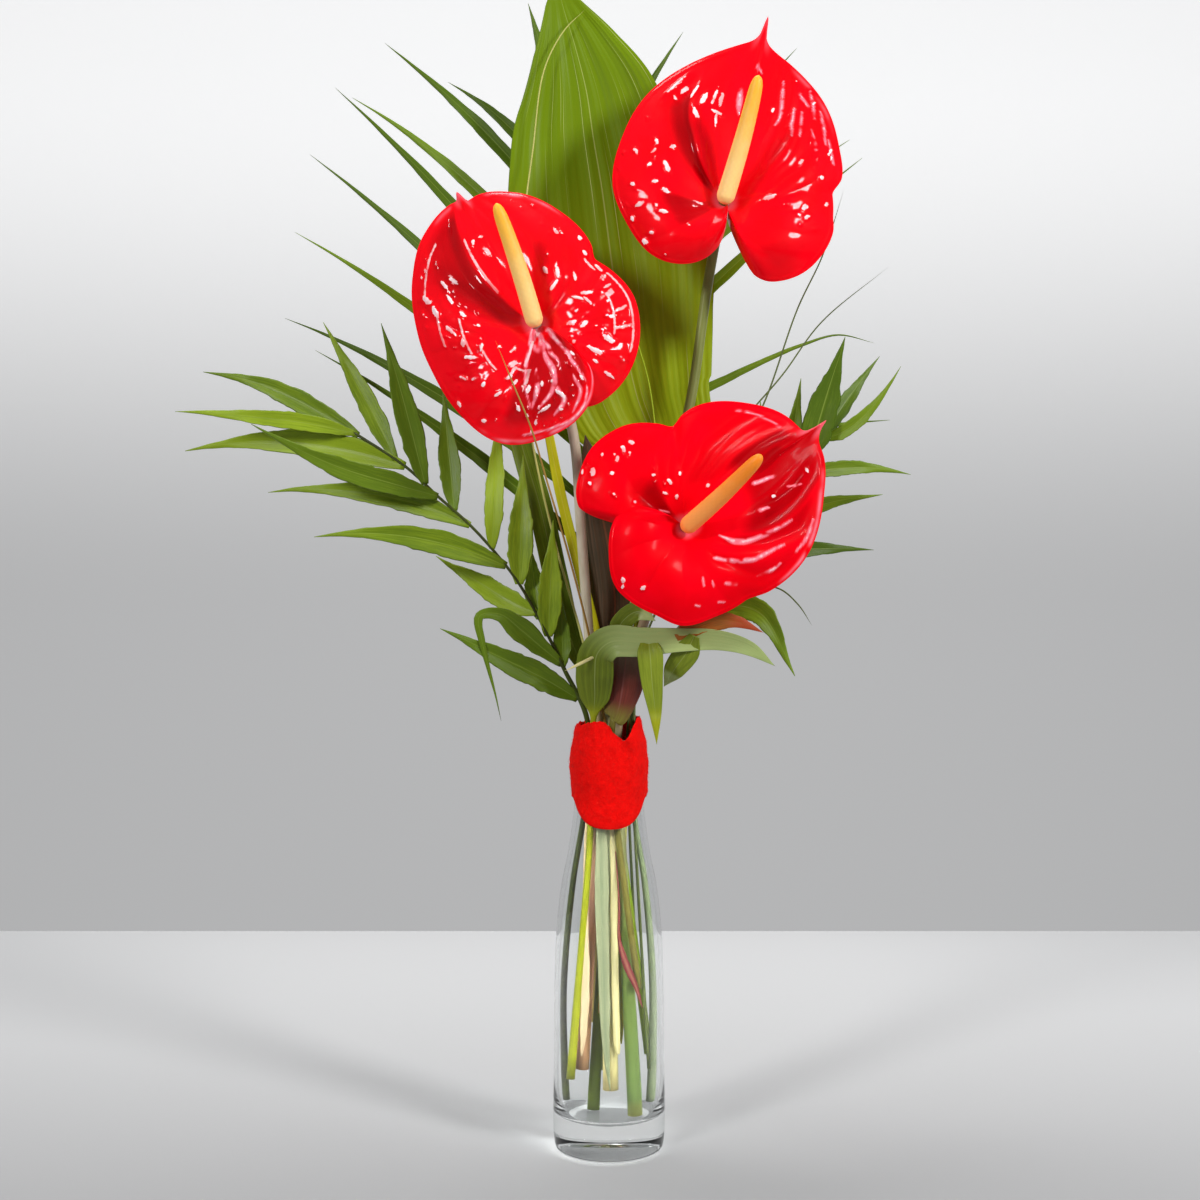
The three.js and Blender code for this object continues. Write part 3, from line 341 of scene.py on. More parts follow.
# Palm fronds: the rib above the neck, and leaflets as (place on the rib, tip, half width, rise)
# with the elbow of those that bend sharply and their width past it, as a share of the rest.
# The place is counted in the rib's points.
FRONDS = {
    "palm_frond_back": {
        "feet": [(-5, 20, 40)],
        "slot": (-2.5, 12.9), "rib_radius": 1.8, "foot_radius": 2.4, "finish": "palm_back",
        "rib": [(-3, 20, 287), (-5, 30, 345), (-10, 40, 428), (-17, 46, 511), (-27, 46, 588), (-36, 42, 645)],
        "leaflets": [
            (5.2, (-47.7, 45, 663.8), 4.5, 0), (4.5, (-96.3, 58, 621), 4, 6),
            (4.2, (-132.8, 48, 641), 4.2, 6), (3.65, (-154.5, 62, 613), 4.2, 12),
            (3.2, (-160.6, 36, 611), 4.2, 8), (2.85, (-178.7, 56, 577), 4.2, 8),
            (2.55, (-181.5, 22, 523), 4.2, 10), (2.2, (-191.5, 44, 477), 4.2, 12),
            (1.8, (-169.3, 18, 454.3), 4, 8), (5.1, (-5, 55, 657), 3, 0), (4.25, (45, 62, 652.5), 4, 6),
            (3.65, (111, 42, 636), 4.2, 6), (3.3, (145, 60, 587), 4.2, 8), (2.95, (147.7, 30, 568), 4.2, 6),
            (2.7, (158, 50, 463.3), 4.2, 0, (135.4, 46, 467.4), 0.6), (2.3, (163, 24, 414.6), 4, 10),
        ],
    },
    "palm_frond_left": {
        "feet": [(-24.5, -1, 28), (-25.8, -1, 90), (-20.5, -1, 150), (-14.6, -1.4, 186)],
        "slot": (-12.4, -1.5), "rib_radius": 1.5, "foot_radius": 2.2, "finish": "palm_left",
        "rib": [
            (-25, -7, 271), (-32.5, -9, 287), (-50, -13, 319), (-62.4, -14, 335.4), (-77.5, -14, 352),
            (-95.4, -13, 368), (-114, -11, 385), (-143.8, -6, 404.6),
        ],
        "leaflets": [
            (7.9, (-233.3, 16, 441.4), 6, 6), (7.95, (-242.8, -10, 415.7), 5, 3),
            (7, (-244.6, 20, 396.3), 8, 9), (6, (-196.9, -26, 407), 6.5, -4), (5, (-195.5, 14, 372), 6.2, 9),
            (3.6, (-161.6, -30, 344.8), 6.8, 8), (2.5, (-98.4, 6, 335.3), 6.8, -2),
            (1.2, (-60, -16, 243), 6.8, 0, (-70, -22, 306), 0.4), (0.4, (-93, -26, 294.6), 7.2, 2),
            (7.2, (-164.6, 18, 470.4), 5.8, 2), (6.4, (-126.2, -20, 463.5), 6.7, 2),
            (5.5, (-94.2, 4, 430.6), 6, 0), (4.2, (-61.5, -12, 419), 5.5, 0), (3, (-48.2, -8, 391.6), 7.3, 0),
            (2.4, (-44.7, 2, 341.5), 6, 0), (2.1, (-31.3, -12, 354.9), 7, 0), (1.1, (-27, -4, 313), 5, 0),
        ],
    },
    "palm_frond_right": {
        "feet": [(24, 2, 26), (25.2, 2, 90), (20.5, 2, 150), (14.9, 2.4, 186)],
        "slot": (13.45, 2.4), "rib_radius": 1.5, "foot_radius": 2.9, "finish": "palm_right",
        "rib": [
            (15, 1, 259), (27, -2, 279), (48, -2, 305), (77, 0, 339), (97, 2, 368), (112, 4, 389),
            (122, 6, 403),
        ],
        "leaflets": [
            (6, (132, -10, 457.4), 8.8, 0), (6.6, (156.8, 22, 451.4), 4.5, 2),
            (6.95, (164, -6, 441.7), 4, -9), (5.6, (175, 24, 383), 4.5, 4),
            (4.5, (152.3, -14, 369), 4.8, 2), (3.9, (153, 20, 339.2), 5, 2),
            (3.1, (103.2, -16, 268), 7.5, 0, (82.3, -14, 303.6), 1), (5.2, (110.2, 14, 437.6), 5.5, 0),
            (4.6, (87, 16, 425.3), 5.5, 0), (3.8, (66.4, 12, 396.2), 5.5, 0), (3.1, (46.2, 8, 367.3), 5, 0),
        ],
    },
}
AMBER_LEAFLET = [
    (36, -38, 290, 2.5, 1.3), (46, -37.6, 295.5, 5, 1.3), (58, -37, 299, 5, 1.3), (71, -36, 298, 3, 1.2),
    (84, -35, 292.5, 0, 0),
]
LEAFLET_WIDTHS = [(0, 0.3), (0.12, 0.72), (0.3, 1), (0.5, 0.9), (0.68, 0.54), (0.86, 0.22), (1, 0.02)]
ELBOW_SHARE = 0.4

# Bear grass: foot, place in the neck, and the points above it.
GRASS_HALF, GRASS_THICKNESS, GRASS_TIP = 0.9, 1.2, 0.35
GRASS = [
    ((-14, 2.5, 90), (-9.3, 1.3), [
        (-9.5, 1, 262), (-15, -1, 288), (-31, -3, 345), (-45, -4, 410), (-50, 0, 470), (-48, 8, 530),
        (-43.5, 10, 567), (-37, 10, 613), (-26, 10, 635), (-14, 12, 648)]),
    ((22, -6, 47.5), (13.6, -0.4), [
        (16, -4, 270), (20, -4, 288), (46, -3, 344), (74, -4, 395), (88, -4, 423), (106, -4, 474),
        (120, -6, 504), (132, -6, 541)]),
    ((9, 19, 85), (5.6, 13), [
        (8, 14, 270), (20, 22, 310), (40, 27, 360), (70, 23, 405), (100, 22, 440), (123, 22, 471),
        (161, 16, 502)]),
    ((16, 14, 95), (11.3, 8.1), [
        (22, 9, 279), (45, 8, 298), (72, 0, 316), (94, -10, 317), (105, -14, 308), (113, -14, 296)]),
    ((-5, -12, 80), (-2.4, -6.3), [
        (-6.2, -10, 256), (-10.6, -20, 288), (-21.4, -37, 332), (-34, -60, 376), (-41, -78, 400),
        (-50, -83, 422), (-59, -85, 444)]),
    ((14, 2, 100), (6, 0.3), [
        (7.5, 2.5, 262), (13.5, 2.5, 288), (20, 4.5, 338), (27, 2, 385), (26, -4, 406), (22, -4, 434),
        (15, -4, 459), (10, -2, 485)]),
]


# ---- Numbers: lines, smooth values and noise ----

def unit(vectors):
    """The vectors, each of length 1."""
    return vectors / np.maximum(np.linalg.norm(vectors, axis=-1, keepdims=True), 1e-9)


def smoothstep(x, low, high):
    """0 below low, 1 above high, and a soft step between."""
    t = np.clip((x - low) / (high - low), 0, 1)
    return t * t * (3 - 2 * t)


def hump(x):
    """1 at 0, falling away softly on both sides."""
    return np.exp(-(x**2))


def curve(points, steps):
    """A smooth line through the points, with so many steps in each span."""
    p = np.asarray(points, float)
    p = np.vstack([2 * p[0] - p[1], p, 2 * p[-1] - p[-2]])
    gap = np.sqrt(np.linalg.norm(np.diff(p, axis=0), axis=1))
    t = np.linspace(0, 1, steps, endpoint=False)[:, None]
    spans = []
    for i in range(1, len(p) - 2):
        a, b, c, d = p[i - 1:i + 3]
        before, here, after = gap[i - 1:i + 2]
        leave = here * ((b - a) / before - (c - a) / (before + here) + (c - b) / here)
        arrive = here * ((c - b) / here - (d - b) / (here + after) + (d - c) / after)
        spans.append(
            (2 * t**3 - 3 * t**2 + 1) * b + (t**3 - 2 * t**2 + t) * leave
            + (3 * t**2 - 2 * t**3) * c + (t**3 - t**2) * arrive
        )
    return np.vstack([*spans, p[-2]])


def lengths(line):
    """How far along the line each point lies, as a share of its length."""
    total = np.concatenate([[0], np.cumsum(np.linalg.norm(np.diff(line, axis=0), axis=1))])
    return total / total[-1]


def spaced(line, shares):
    """The points of a line at these shares of its length."""
    at = lengths(line)
    return np.stack([np.interp(shares, at, line[:, k]) for k in range(3)], axis=1)


def smooth_values(x, pairs):
    """A smooth value at x through (place, value) pairs that never overshoots them."""
    place, value = np.array(pairs, float).T
    width = np.diff(place)
    slope = np.diff(value) / width
    tangent = np.zeros_like(value)
    rising = slope[:-1] * slope[1:] > 0
    w0, w1 = (2 * width[1:] + width[:-1])[rising], (width[1:] + 2 * width[:-1])[rising]
    tangent[1:-1][rising] = (w0 + w1) / (w0 / slope[:-1][rising] + w1 / slope[1:][rising])
    tangent[0], tangent[-1] = slope[0], slope[-1]
    i = np.clip(np.searchsorted(place, x, side="right") - 1, 0, len(width) - 1)
    t = np.clip((x - place[i]) / width[i], 0, 1)
    return (
        (2 * t**3 - 3 * t**2 + 1) * value[i] + (t**3 - 2 * t**2 + t) * width[i] * tangent[i]
        + (3 * t**2 - 2 * t**3) * value[i + 1] + (t**3 - t**2) * width[i] * tangent[i + 1]
    )


def lattice(cells, seed):
    """A fixed random number from 0 to 1 for each whole-numbered cell."""
    cells = cells.astype(np.int64)
    mixed = cells @ np.array([73856093, 19349663, 83492791][:cells.shape[-1]]) + seed * 2654435761
    mixed = (mixed ^ (mixed >> 13)) * 1274126177 & 0x7FFFFFFF
    return (mixed ^ (mixed >> 16)) % 65536 / 65535


def noise(points, size, seed):
    """Soft noise from -1 to 1 with bumps of this size."""
    p = np.asarray(points, float) / size
    base = np.floor(p)
    t = p - base
    t = t * t * (3 - 2 * t)
    total = 0
    for corner in np.ndindex(*(2,) * p.shape[-1]):
        weight = np.prod(np.where(corner, t, 1 - t), axis=-1)
        total = total + weight * lattice(base + np.array(corner), seed)
    return 2 * total - 1


def welts(place, along, spacing, density, seed):
    """Small domes scattered over a plane and drawn out along a direction: height from 0 to 1."""
    across = np.stack([-along[..., 1], along[..., 0]], axis=-1)
    base = np.floor(place / spacing)
    top = np.zeros(place.shape[:-1])
    for offset in np.ndindex(3, 3):
        cell = base + np.array(offset) - 1
        draws = [lattice(cell, seed + k) for k in range(5)]
        away = place - (cell + 0.1 + 0.8 * np.stack(draws[:2], axis=-1)) * spacing
        reach = (0.24 + 0.16 * draws[2]) * spacing
        far = (np.sum(away * along, axis=-1) / (reach * (1 + 1.3 * draws[3]))) ** 2
        far = far + (np.sum(away * across, axis=-1) / reach) ** 2
        dome = np.maximum(0, 1 - far) ** 2 * reach / (0.4 * spacing)
        top = np.maximum(top, dome * smoothstep(density - draws[4], 0, 0.1))
    return top


# ---- Meshes ----

def quads(a, b, c, d):
    """Four-sided faces out of four grids of point numbers."""
    return np.stack([np.ravel(a), np.ravel(b), np.ravel(c), np.ravel(d)], axis=1)


def turns(sides):
    """Even angles round a circle."""
    return np.arange(sides) * 2 * math.pi / sides


def ring_faces(count, sides):
    """The numbers of count points in rings, and the faces between the rings."""
    index = np.arange(count).reshape(-1, sides)
    after = np.roll(index, -1, axis=1)
    return index, quads(index[:-1], after[:-1], after[1:], index[1:])


def piece(name, shells, material, nodes):
    """One piece out of closed shells, each (points in mm, faces, values at the points). It stands
    in for the named nodes of the packed model, which it hides, and hangs from the root body."""
    points, faces, values, start = [], [], {}, 0
    for shell_points, shell_faces, shell_values in shells:
        points.append(shell_points)
        faces.extend((np.asarray(f) + start).tolist() for f in shell_faces)
        for key, value in shell_values.items():
            values.setdefault(key, []).append(value)
        start += len(shell_points)
    mesh = bpy.data.meshes.new(name)
    mesh.from_pydata((np.vstack(points) * MM).tolist(), [], faces)
    for key, value in values.items():
        attribute = mesh.attributes.new(key, "FLOAT", "POINT")
        attribute.data.foreach_set("value", np.concatenate(value).astype(np.float32))
    tidy = bmesh.new()
    tidy.from_mesh(mesh)
    bmesh.ops.remove_doubles(tidy, verts=tidy.verts, dist=MERGE_WITHIN)
    bmesh.ops.dissolve_degenerate(tidy, edges=tidy.edges, dist=SHORTEST_EDGE)
    bmesh.ops.recalc_face_normals(tidy, faces=tidy.faces)
    tidy.to_mesh(mesh)
    tidy.free()
    mesh.polygons.foreach_set("use_smooth", [True] * len(mesh.polygons))
    mesh.materials.append(material)
    made = bpy.data.objects.new(name, mesh)
    bpy.context.scene.collection.objects.link(made)
    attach(made, BODY)
    if nodes:
        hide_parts(*nodes)
    return made


def sheet_shell(front, back, values, ring=False):
    """A closed shell between two grids of points."""
    rows, columns = front.shape[:2]
    near = np.arange(rows * columns).reshape(rows, columns)
    far = near + rows * columns
    faces = [
        quads(near[:-1, :-1], near[:-1, 1:], near[1:, 1:], near[1:, :-1]),
        quads(far[:-1, :-1], far[1:, :-1], far[1:, 1:], far[:-1, 1:]),
        quads(near[0, :-1], far[0, :-1], far[0, 1:], near[0, 1:]),
        quads(near[-1, :-1], near[-1, 1:], far[-1, 1:], far[-1, :-1]),
    ]
    if not ring:
        faces.append(quads(near[:-1, 0], near[1:, 0], far[1:, 0], far[:-1, 0]))
        faces.append(quads(near[:-1, -1], far[:-1, -1], far[1:, -1], near[1:, -1]))
    points = np.concatenate([front.reshape(-1, 3), back.reshape(-1, 3)])
    both = {key: np.tile(np.ravel(value), 2) for key, value in values.items()}
    both["back"] = np.repeat([0.0, 1.0], rows * columns)
    return points, np.concatenate(faces), both


def blade_shell(
    stations, steps=6, columns=16, cup=0, keel=0, twist=0, relief=None, shade=0, thin=0.6, ragged=0,
):
    """A leaf blade or round stalk through its stations. The edges come forward by cup (curved) or
    keel (folded); relief(place, x, half) raises ribs; twist turns the tip, in radians; ragged is the
    share of the width by which the edges wander."""
    stations = np.array(stations, float)
    line = curve(stations[:, :3], steps)
    place = np.arange(len(line)) / steps
    knots = np.arange(len(stations))
    half = smooth_values(place, np.stack([knots, stations[:, 3]], axis=1))[:, None]
    thickness = smooth_values(place, np.stack([knots, stations[:, 4]], axis=1))[:, None]
    along = unit(np.gradient(line, axis=0))
    across = unit(np.cross(along, FRONT))
    forward = np.cross(across, along)
    share = lengths(line)[:, None]
    turn = twist * share**1.5
    across, forward = (
        across * np.cos(turn) + forward * np.sin(turn),
        forward * np.cos(turn) - across * np.sin(turn),
    )
    even = np.linspace(-1, 1, columns + 1)
    x = (0.5 * even + 0.5 * np.sin(even * math.pi / 2))[None, :]
    flat = smoothstep(half, 2, 4)
    fold = flat * half * (cup * x * x + keel * (np.sqrt(x * x + 0.004) - 0.063))
    skin = 0.5 * thickness * (1 - (1 - thin) * flat) * np.sqrt(1 - x**2)
    lift = fold + (flat * relief(place[:, None], x, half) if relief else 0)
    spots = np.stack(np.broadcast_arrays(place[:, None] * 2.3 + 9 * shade, 50 * np.sign(x)), axis=-1)
    edge = 1 + ragged * (noise(spots, 1, 3) + 0.5 * noise(spots * 3.1, 1, 4)) * np.abs(x)
    middle = line[:, None, :] + across[:, None, :] * (x * half * edge)[..., None]
    grid = [middle + forward[:, None, :] * (lift + side * skin)[..., None] for side in (1, -1)]
    values = {
        "across": np.broadcast_to(x, lift.shape),
        "along": np.broadcast_to(share, lift.shape),
        "broad": np.broadcast_to(smoothstep(line[:, 2:], NECK_HIGH, NECK_HIGH + 12), lift.shape),
        "shade": np.full(lift.shape, float(shade)),
    }
    return sheet_shell(*grid, values)


def tube_shell(line, radius, sides, values, ridges=0.0, ridge_count=9):
    """A round bar along a fine line, closed at both ends, with shallow lengthwise ridges."""
    along = unit(np.gradient(line, axis=0))
    across = np.zeros_like(along)
    direction = np.cross(along[0], FRONT)
    for i, tangent in enumerate(along):
        direction = direction - tangent * direction.dot(tangent)
        direction /= np.linalg.norm(direction)
        across[i] = direction
    forward = np.cross(across, along)
    angle = turns(sides)
    radius = np.broadcast_to(np.reshape(radius, (-1, 1)), (len(line), sides))
    reach = radius * (1 + ridges * np.cos(ridge_count * angle))
    ring = across[:, None] * np.cos(angle)[:, None] + forward[:, None] * np.sin(angle)[:, None]
    points = (line[:, None] + ring * reach[..., None]).reshape(-1, 3)
    index, faces = ring_faces(len(points), sides)
    spread = {key: np.repeat(np.ravel(value), sides) for key, value in values.items()}
    return points, [*faces.tolist(), index[0, ::-1].tolist(), index[-1].tolist()], spread


def flared(line, radius, foot_radius):
    """The radius of a stem along its line: it widens from the neck down to the foot."""
    below = np.clip((NECK_LOW - line[:, 2]) / (NECK_LOW - line[0, 2]), 0, 1)
    return radius + (foot_radius - radius) * below


def upright(feet, slot):
    """A stem's points from its foot through its place in the neck."""
    return [*feet, (*slot, NECK_LOW), (*slot, NECK_HIGH)]


# ---- Materials ----

def finish(name):
    """A new material, its node tree and its Principled shader."""
    material = bpy.data.materials.new(name)
    material.use_nodes = True
    return material, material.node_tree, material.node_tree.nodes["Principled BSDF"]


def fill(tree, made, inputs):
    """The node with these inputs linked or set. Colours are given as (red, green, blue)."""
    for key, given in inputs.items():
        socket = made.inputs[key]
        if isinstance(given, bpy.types.NodeSocket):
            tree.links.new(given, socket)
        else:
            socket.default_value = (*given[:3], 1.0) if socket.type == "RGBA" else given
    return made


def node(tree, kind, inputs=None, **settings):
    """A new node of this kind with its settings and inputs."""
    made = tree.nodes.new("ShaderNode" + kind)
    for key, setting in settings.items():
        setattr(made, key, setting)
    return fill(tree, made, inputs or {})


def value(tree, name):
    """The value kept at the mesh's points under this name."""
    return node(tree, "Attribute", attribute_name=name).outputs["Fac"]


def maths(tree, operation, a, b=0.5, c=0.5):
    """The result of one operation."""
    return node(tree, "Math", {0: a, 1: b, 2: c}, operation=operation).outputs[0]


def times(tree, a, b):
    """One value times another."""
    return maths(tree, "MULTIPLY", a, b)


def mapped(tree, source, low, high, to_low=0.0, to_high=1.0):
    """The source, with low to high mapped to another range and soft ends."""
    inputs = {"Value": source, "From Min": low, "From Max": high, "To Min": to_low, "To Max": to_high}
    return node(tree, "MapRange", inputs, interpolation_type="SMOOTHSTEP").outputs["Result"]


def mixed(tree, share, a, b, blend_type="MIX"):
    """Colour a turned by a share into colour b."""
    made = node(tree, "Mix", {0: share}, data_type="RGBA", blend_type=blend_type)
    return fill(tree, made, {6: a, 7: b}).outputs[2]


def bump(tree, height, strength, distance):
    """A normal that follows a fine height."""
    inputs = {"Height": height, "Strength": strength, "Distance": distance}
    return node(tree, "Bump", inputs).outputs["Normal"]


def place_on(tree):
    """Where a point of the piece lies, in metres."""
    return node(tree, "TexCoord").outputs["Object"]


def combined(tree, x, y, z):
    """Three values as one place."""
    return node(tree, "CombineXYZ", {"X": x, "Y": y, "Z": z}).outputs[0]


def cloud(tree, place, scale, detail=2.0, roughness=0.5, distortion=0.0):
    """Soft random values from 0 to 1, with about this many patches to a unit of place."""
    return node(tree, "TexNoise", {
        "Vector": place, "Scale": scale, "Detail": detail, "Roughness": roughness, "Distortion": distortion,
    }).outputs[0]


def leaf_material(name, light, dark, vein, stripes, roughness, rib=0.07, sheen_streak=0.0, back=None,
                  stalk_colour=None, upper_colour=None, gloss=0.2):
    """Ribbed satin leaf, streaked lengthwise between a light and a dark tone, with a paler midrib.
    Beyond a share of its length, (colour, from, to) gives another colour and where along it that shows:
    the other side where a leaf turns over, and painted shade at the aspidistra's top. Sheen streaks are
    thin pale lines painted as reflections."""
    material, tree, shader = finish(name)
    across, along, shade = value(tree, "across"), value(tree, "along"), value(tree, "shade")
    fibres = combined(tree, times(tree, across, stripes), times(tree, along, 5.0), times(tree, shade, 7.0))
    grain = cloud(tree, fibres, 1.0, 5.0, 0.65)
    patch = cloud(tree, place_on(tree), 28.0, 3.0)
    tone = maths(tree, "ADD", times(tree, grain, 0.75), times(tree, patch, 0.45))
    tone = maths(tree, "ADD", tone, times(tree, shade, 0.3))
    colour = mixed(tree, mapped(tree, tone, 0.35, 0.95), dark, light)
    if upper_colour is not None:
        colour = mixed(tree, mapped(tree, along, *upper_colour[1:]), colour, upper_colour[0])
    if back is not None:
        colour = mixed(tree, times(tree, value(tree, "back"), 0.8), colour, back)
    midrib = mapped(tree, maths(tree, "ABSOLUTE", across), 0.0, rib, 0.5, 0.0)
    colour = mixed(tree, midrib, colour, vein)
    # Painted reflection: thin pale streaks in the vein colour along the ribs.
    if sheen_streak:
        fine = combined(tree, times(tree, across, stripes * 2.4), times(tree, along, 3.0), 4.0)
        colour = mixed(tree, mapped(tree, cloud(tree, fine, 1.0), 0.66, 0.74, 0.0, sheen_streak), colour, vein)
    if stalk_colour is not None:
        plain = mixed(tree, mapped(tree, grain, 0.3, 0.7, 0.0, 0.5), stalk_colour, dark)
        colour = mixed(tree, value(tree, "broad"), plain, colour)
    fill(tree, shader, {
        "Base Color": colour,
        "Roughness": mapped(tree, grain, 0.2, 0.8, roughness - 0.07, roughness + 0.1),
        "Specular IOR Level": gloss,
        "Normal": bump(tree, grain, 0.5, 0.0004),
    })
    return material


def stem_material(name, stops):
    """A smooth stem whose colour changes from its foot up, by (share of the length, colour)."""
    material, tree, shader = finish(name)
    ramp = node(tree, "ValToRGB", {"Fac": value(tree, "along")})
    points = ramp.color_ramp.elements
    for i, (share, colour) in enumerate(stops):
        stop = points[i] if i < 2 else points.new(share)
        stop.position = share
        stop.color = (*colour, 1.0)
    long_grain = {"Vector": place_on(tree), "Scale": (420.0, 420.0, 18.0)}
    grain = cloud(tree, node(tree, "Mapping", long_grain).outputs[0], 1.0, 4.0)
    share = mapped(tree, grain, 0.3, 0.75, 0.0, 0.4)
    fill(tree, shader, {
        "Base Color": mixed(tree, share, ramp.outputs[0], (0.55, 0.5, 0.34), "MULTIPLY"),
        "Roughness": 0.38,
        "Specular IOR Level": 0.45,
        "Normal": bump(tree, grain, 0.3, 0.0003),
    })
    return material


def spathe_material(settings, name, coat, coat_roughness):
    """Waxy red spathe under a clear glossy coat: painted shade darkens it in its creases and painted
    shadows and, on its front, it is pink where it is pale and where sheen is painted, with painted
    whitish highlights on the crests of its welts and fine veins."""
    material, tree, shader = finish(name)
    place = place_on(tree)
    patch = mapped(tree, cloud(tree, place, 45.0, 3.0), 0.3, 0.75)
    colour = mixed(tree, patch, settings.spathe_dark, settings.spathe_colour)
    # Painted shade: darker red in the creases and painted shadows.
    colour = mixed(tree, value(tree, "crease"), colour, settings.crease_colour)
    front = maths(tree, "SUBTRACT", 1.0, value(tree, "back"))
    # Pink where the spathe is pale, and painted sheen on streaks and rims.
    colour = mixed(tree, times(tree, value(tree, "pale"), front), colour, settings.pale_and_sheen_colour)
    rough = cloud(tree, place, 480.0)
    uneven = mapped(tree, cloud(tree, place, 120.0), 0.35, 0.6, 0.5, 1.0)
    # Painted highlights: whitish on the crests of the welts and fine veins.
    welt = maths(tree, "MULTIPLY_ADD", rough, 1.1, value(tree, "welt"))
    line = maths(tree, "MULTIPLY_ADD", rough, 0.9, value(tree, "line"))
    crest = mapped(tree, welt, 1.06, 1.16, 0.0, settings.welt_highlight)
    crest = maths(tree, "MAXIMUM", crest, mapped(tree, line, 0.95, 1.25, 0.0, settings.vein_highlight))
    crest = times(tree, times(tree, crest, uneven), front)
    fill(tree, shader, {
        "Base Color": mixed(tree, crest, colour, settings.highlight_colour),
        "Roughness": 0.4,
        "Specular IOR Level": 0.015,
        "Coat Weight": coat,
        "Coat Roughness": coat_roughness,
        "Coat IOR": 1.45,
        "Subsurface Weight": 0.06,
        "Subsurface Radius": (1.0, 0.2, 0.1),
        "Subsurface Scale": 0.0015,
        "Normal": bump(tree, cloud(tree, place, 200.0, 1.0), 0.25, 0.0005),
    })
    return material


def spadix_material(name, base, tip):
    """Matt spadix that deepens from its base to its tip."""
    material, tree, shader = finish(name)
    patch = mapped(tree, cloud(tree, place_on(tree), 160.0, 3.0), 0.0, 1.0, -0.12, 0.12)
    share = maths(tree, "ADD", value(tree, "along"), patch)
    colour = mixed(tree, mapped(tree, share, 0.1, 0.95), base, tip)
    fill(tree, shader, {
        "Base Color": mixed(tree, value(tree, "seam"), colour, (0.62, 0.36, 0.1), "MULTIPLY"),
        "Roughness": 0.5,
        "Specular IOR Level": 0.35,
        "Subsurface Weight": 0.15,
        "Subsurface Radius": (1.0, 0.5, 0.2),
        "Subsurface Scale": 0.002,
    })
    return material


def glass_material(tint):
    """Clear polished glass that lets lamps light what stands in it."""
    material, tree, shader = finish("clear_glass")
    fill(tree, shader, {"Base Color": tint, "Roughness": 0.0, "IOR": 1.47, "Transmission Weight": 1.0})
    clear = node(tree, "BsdfTransparent", {"Color": (0.96, 0.97, 0.97)})
    share = node(tree, "LightPath").outputs["Is Shadow Ray"]
    both = node(tree, "MixShader", {0: share, 1: shader.outputs[0], 2: clear.outputs[0]})
    fill(tree, tree.nodes["Material Output"], {"Surface": both.outputs[0]})
    return material


def felt_material(colour):
    """Matt red felt with a soft pile."""
    material, tree, shader = finish("red_felt")
    place = place_on(tree)
    clumps = cloud(tree, place, 240.0, 6.0, 0.7)
    fibres = cloud(tree, place, 1500.0, 3.0, distortion=1.5)
    deep = [channel * 0.82 for channel in colour]
    bright = (colour[0], colour[1] + 0.05, colour[2] + 0.03)
    tone = mixed(tree, mapped(tree, clumps, 0.3, 0.7), deep, colour)
    height = maths(tree, "ADD", clumps, times(tree, fibres, 0.5))
    fill(tree, shader, {
        "Base Color": mixed(tree, mapped(tree, fibres, 0.55, 0.8, 0.0, 0.6), tone, bright),
        "Roughness": 0.95,
        "Specular IOR Level": 0.04,
        "Sheen Weight": 0.08,
        "Sheen Tint": (1.0, 0.25, 0.2),
        "Normal": bump(tree, height, 0.9, 0.0012),
    })
    return material


# ---- Settings ----

def length_setting(name, description, default):
    """A length, with its default in millimetres."""
    return bpy.props.FloatProperty(
        name=name, description=description, default=default * MM, min=0.0, precision=5,
        subtype="DISTANCE", unit="LENGTH",
    )


def colour_setting(name, description, default):
    """A colour as (red, green, blue)."""
    return bpy.props.FloatVectorProperty(
        name=name, description=description, default=default, size=3, min=0.0, max=1.0, subtype="COLOR",
    )


def share_setting(name, description, default):
    """A strength from none at 0 to full at 1."""
    return bpy.props.FloatProperty(
        name=name, description=description, default=default, min=0.0, max=1.0, subtype="FACTOR",
    )


def power_setting(name, description, default):
    """A lamp's power in watts."""
    return bpy.props.FloatProperty(
        name=name, description=description, default=default, min=0.0, unit="POWER",
    )


def count_setting(name, description, default, least):
    """A whole number."""
    return bpy.props.IntProperty(name=name, description=description, default=default, min=least)


class BouquetHolderSettings(bpy.types.PropertyGroup):
    """The vase and its sleeve."""
    glass_tint: colour_setting("Glass tint", "Colour of the glass", (0.97, 0.985, 0.98))
    glass_sides: count_setting("Sides", "Faces round the vase", 144, 24)
    felt_colour: colour_setting("Felt", "Colour of the sleeve", (1.0, 0.004, 0.003))
    felt_relief: length_setting("Felt relief", "Height of the lumps in the felt", 0.45)
    fibre_length: length_setting("Fibre length", "Longest loose fibre on the sleeve", 1.6)
    fibre_count: count_setting("Fibres", "Loose fibres on the sleeve", 5200, 0)


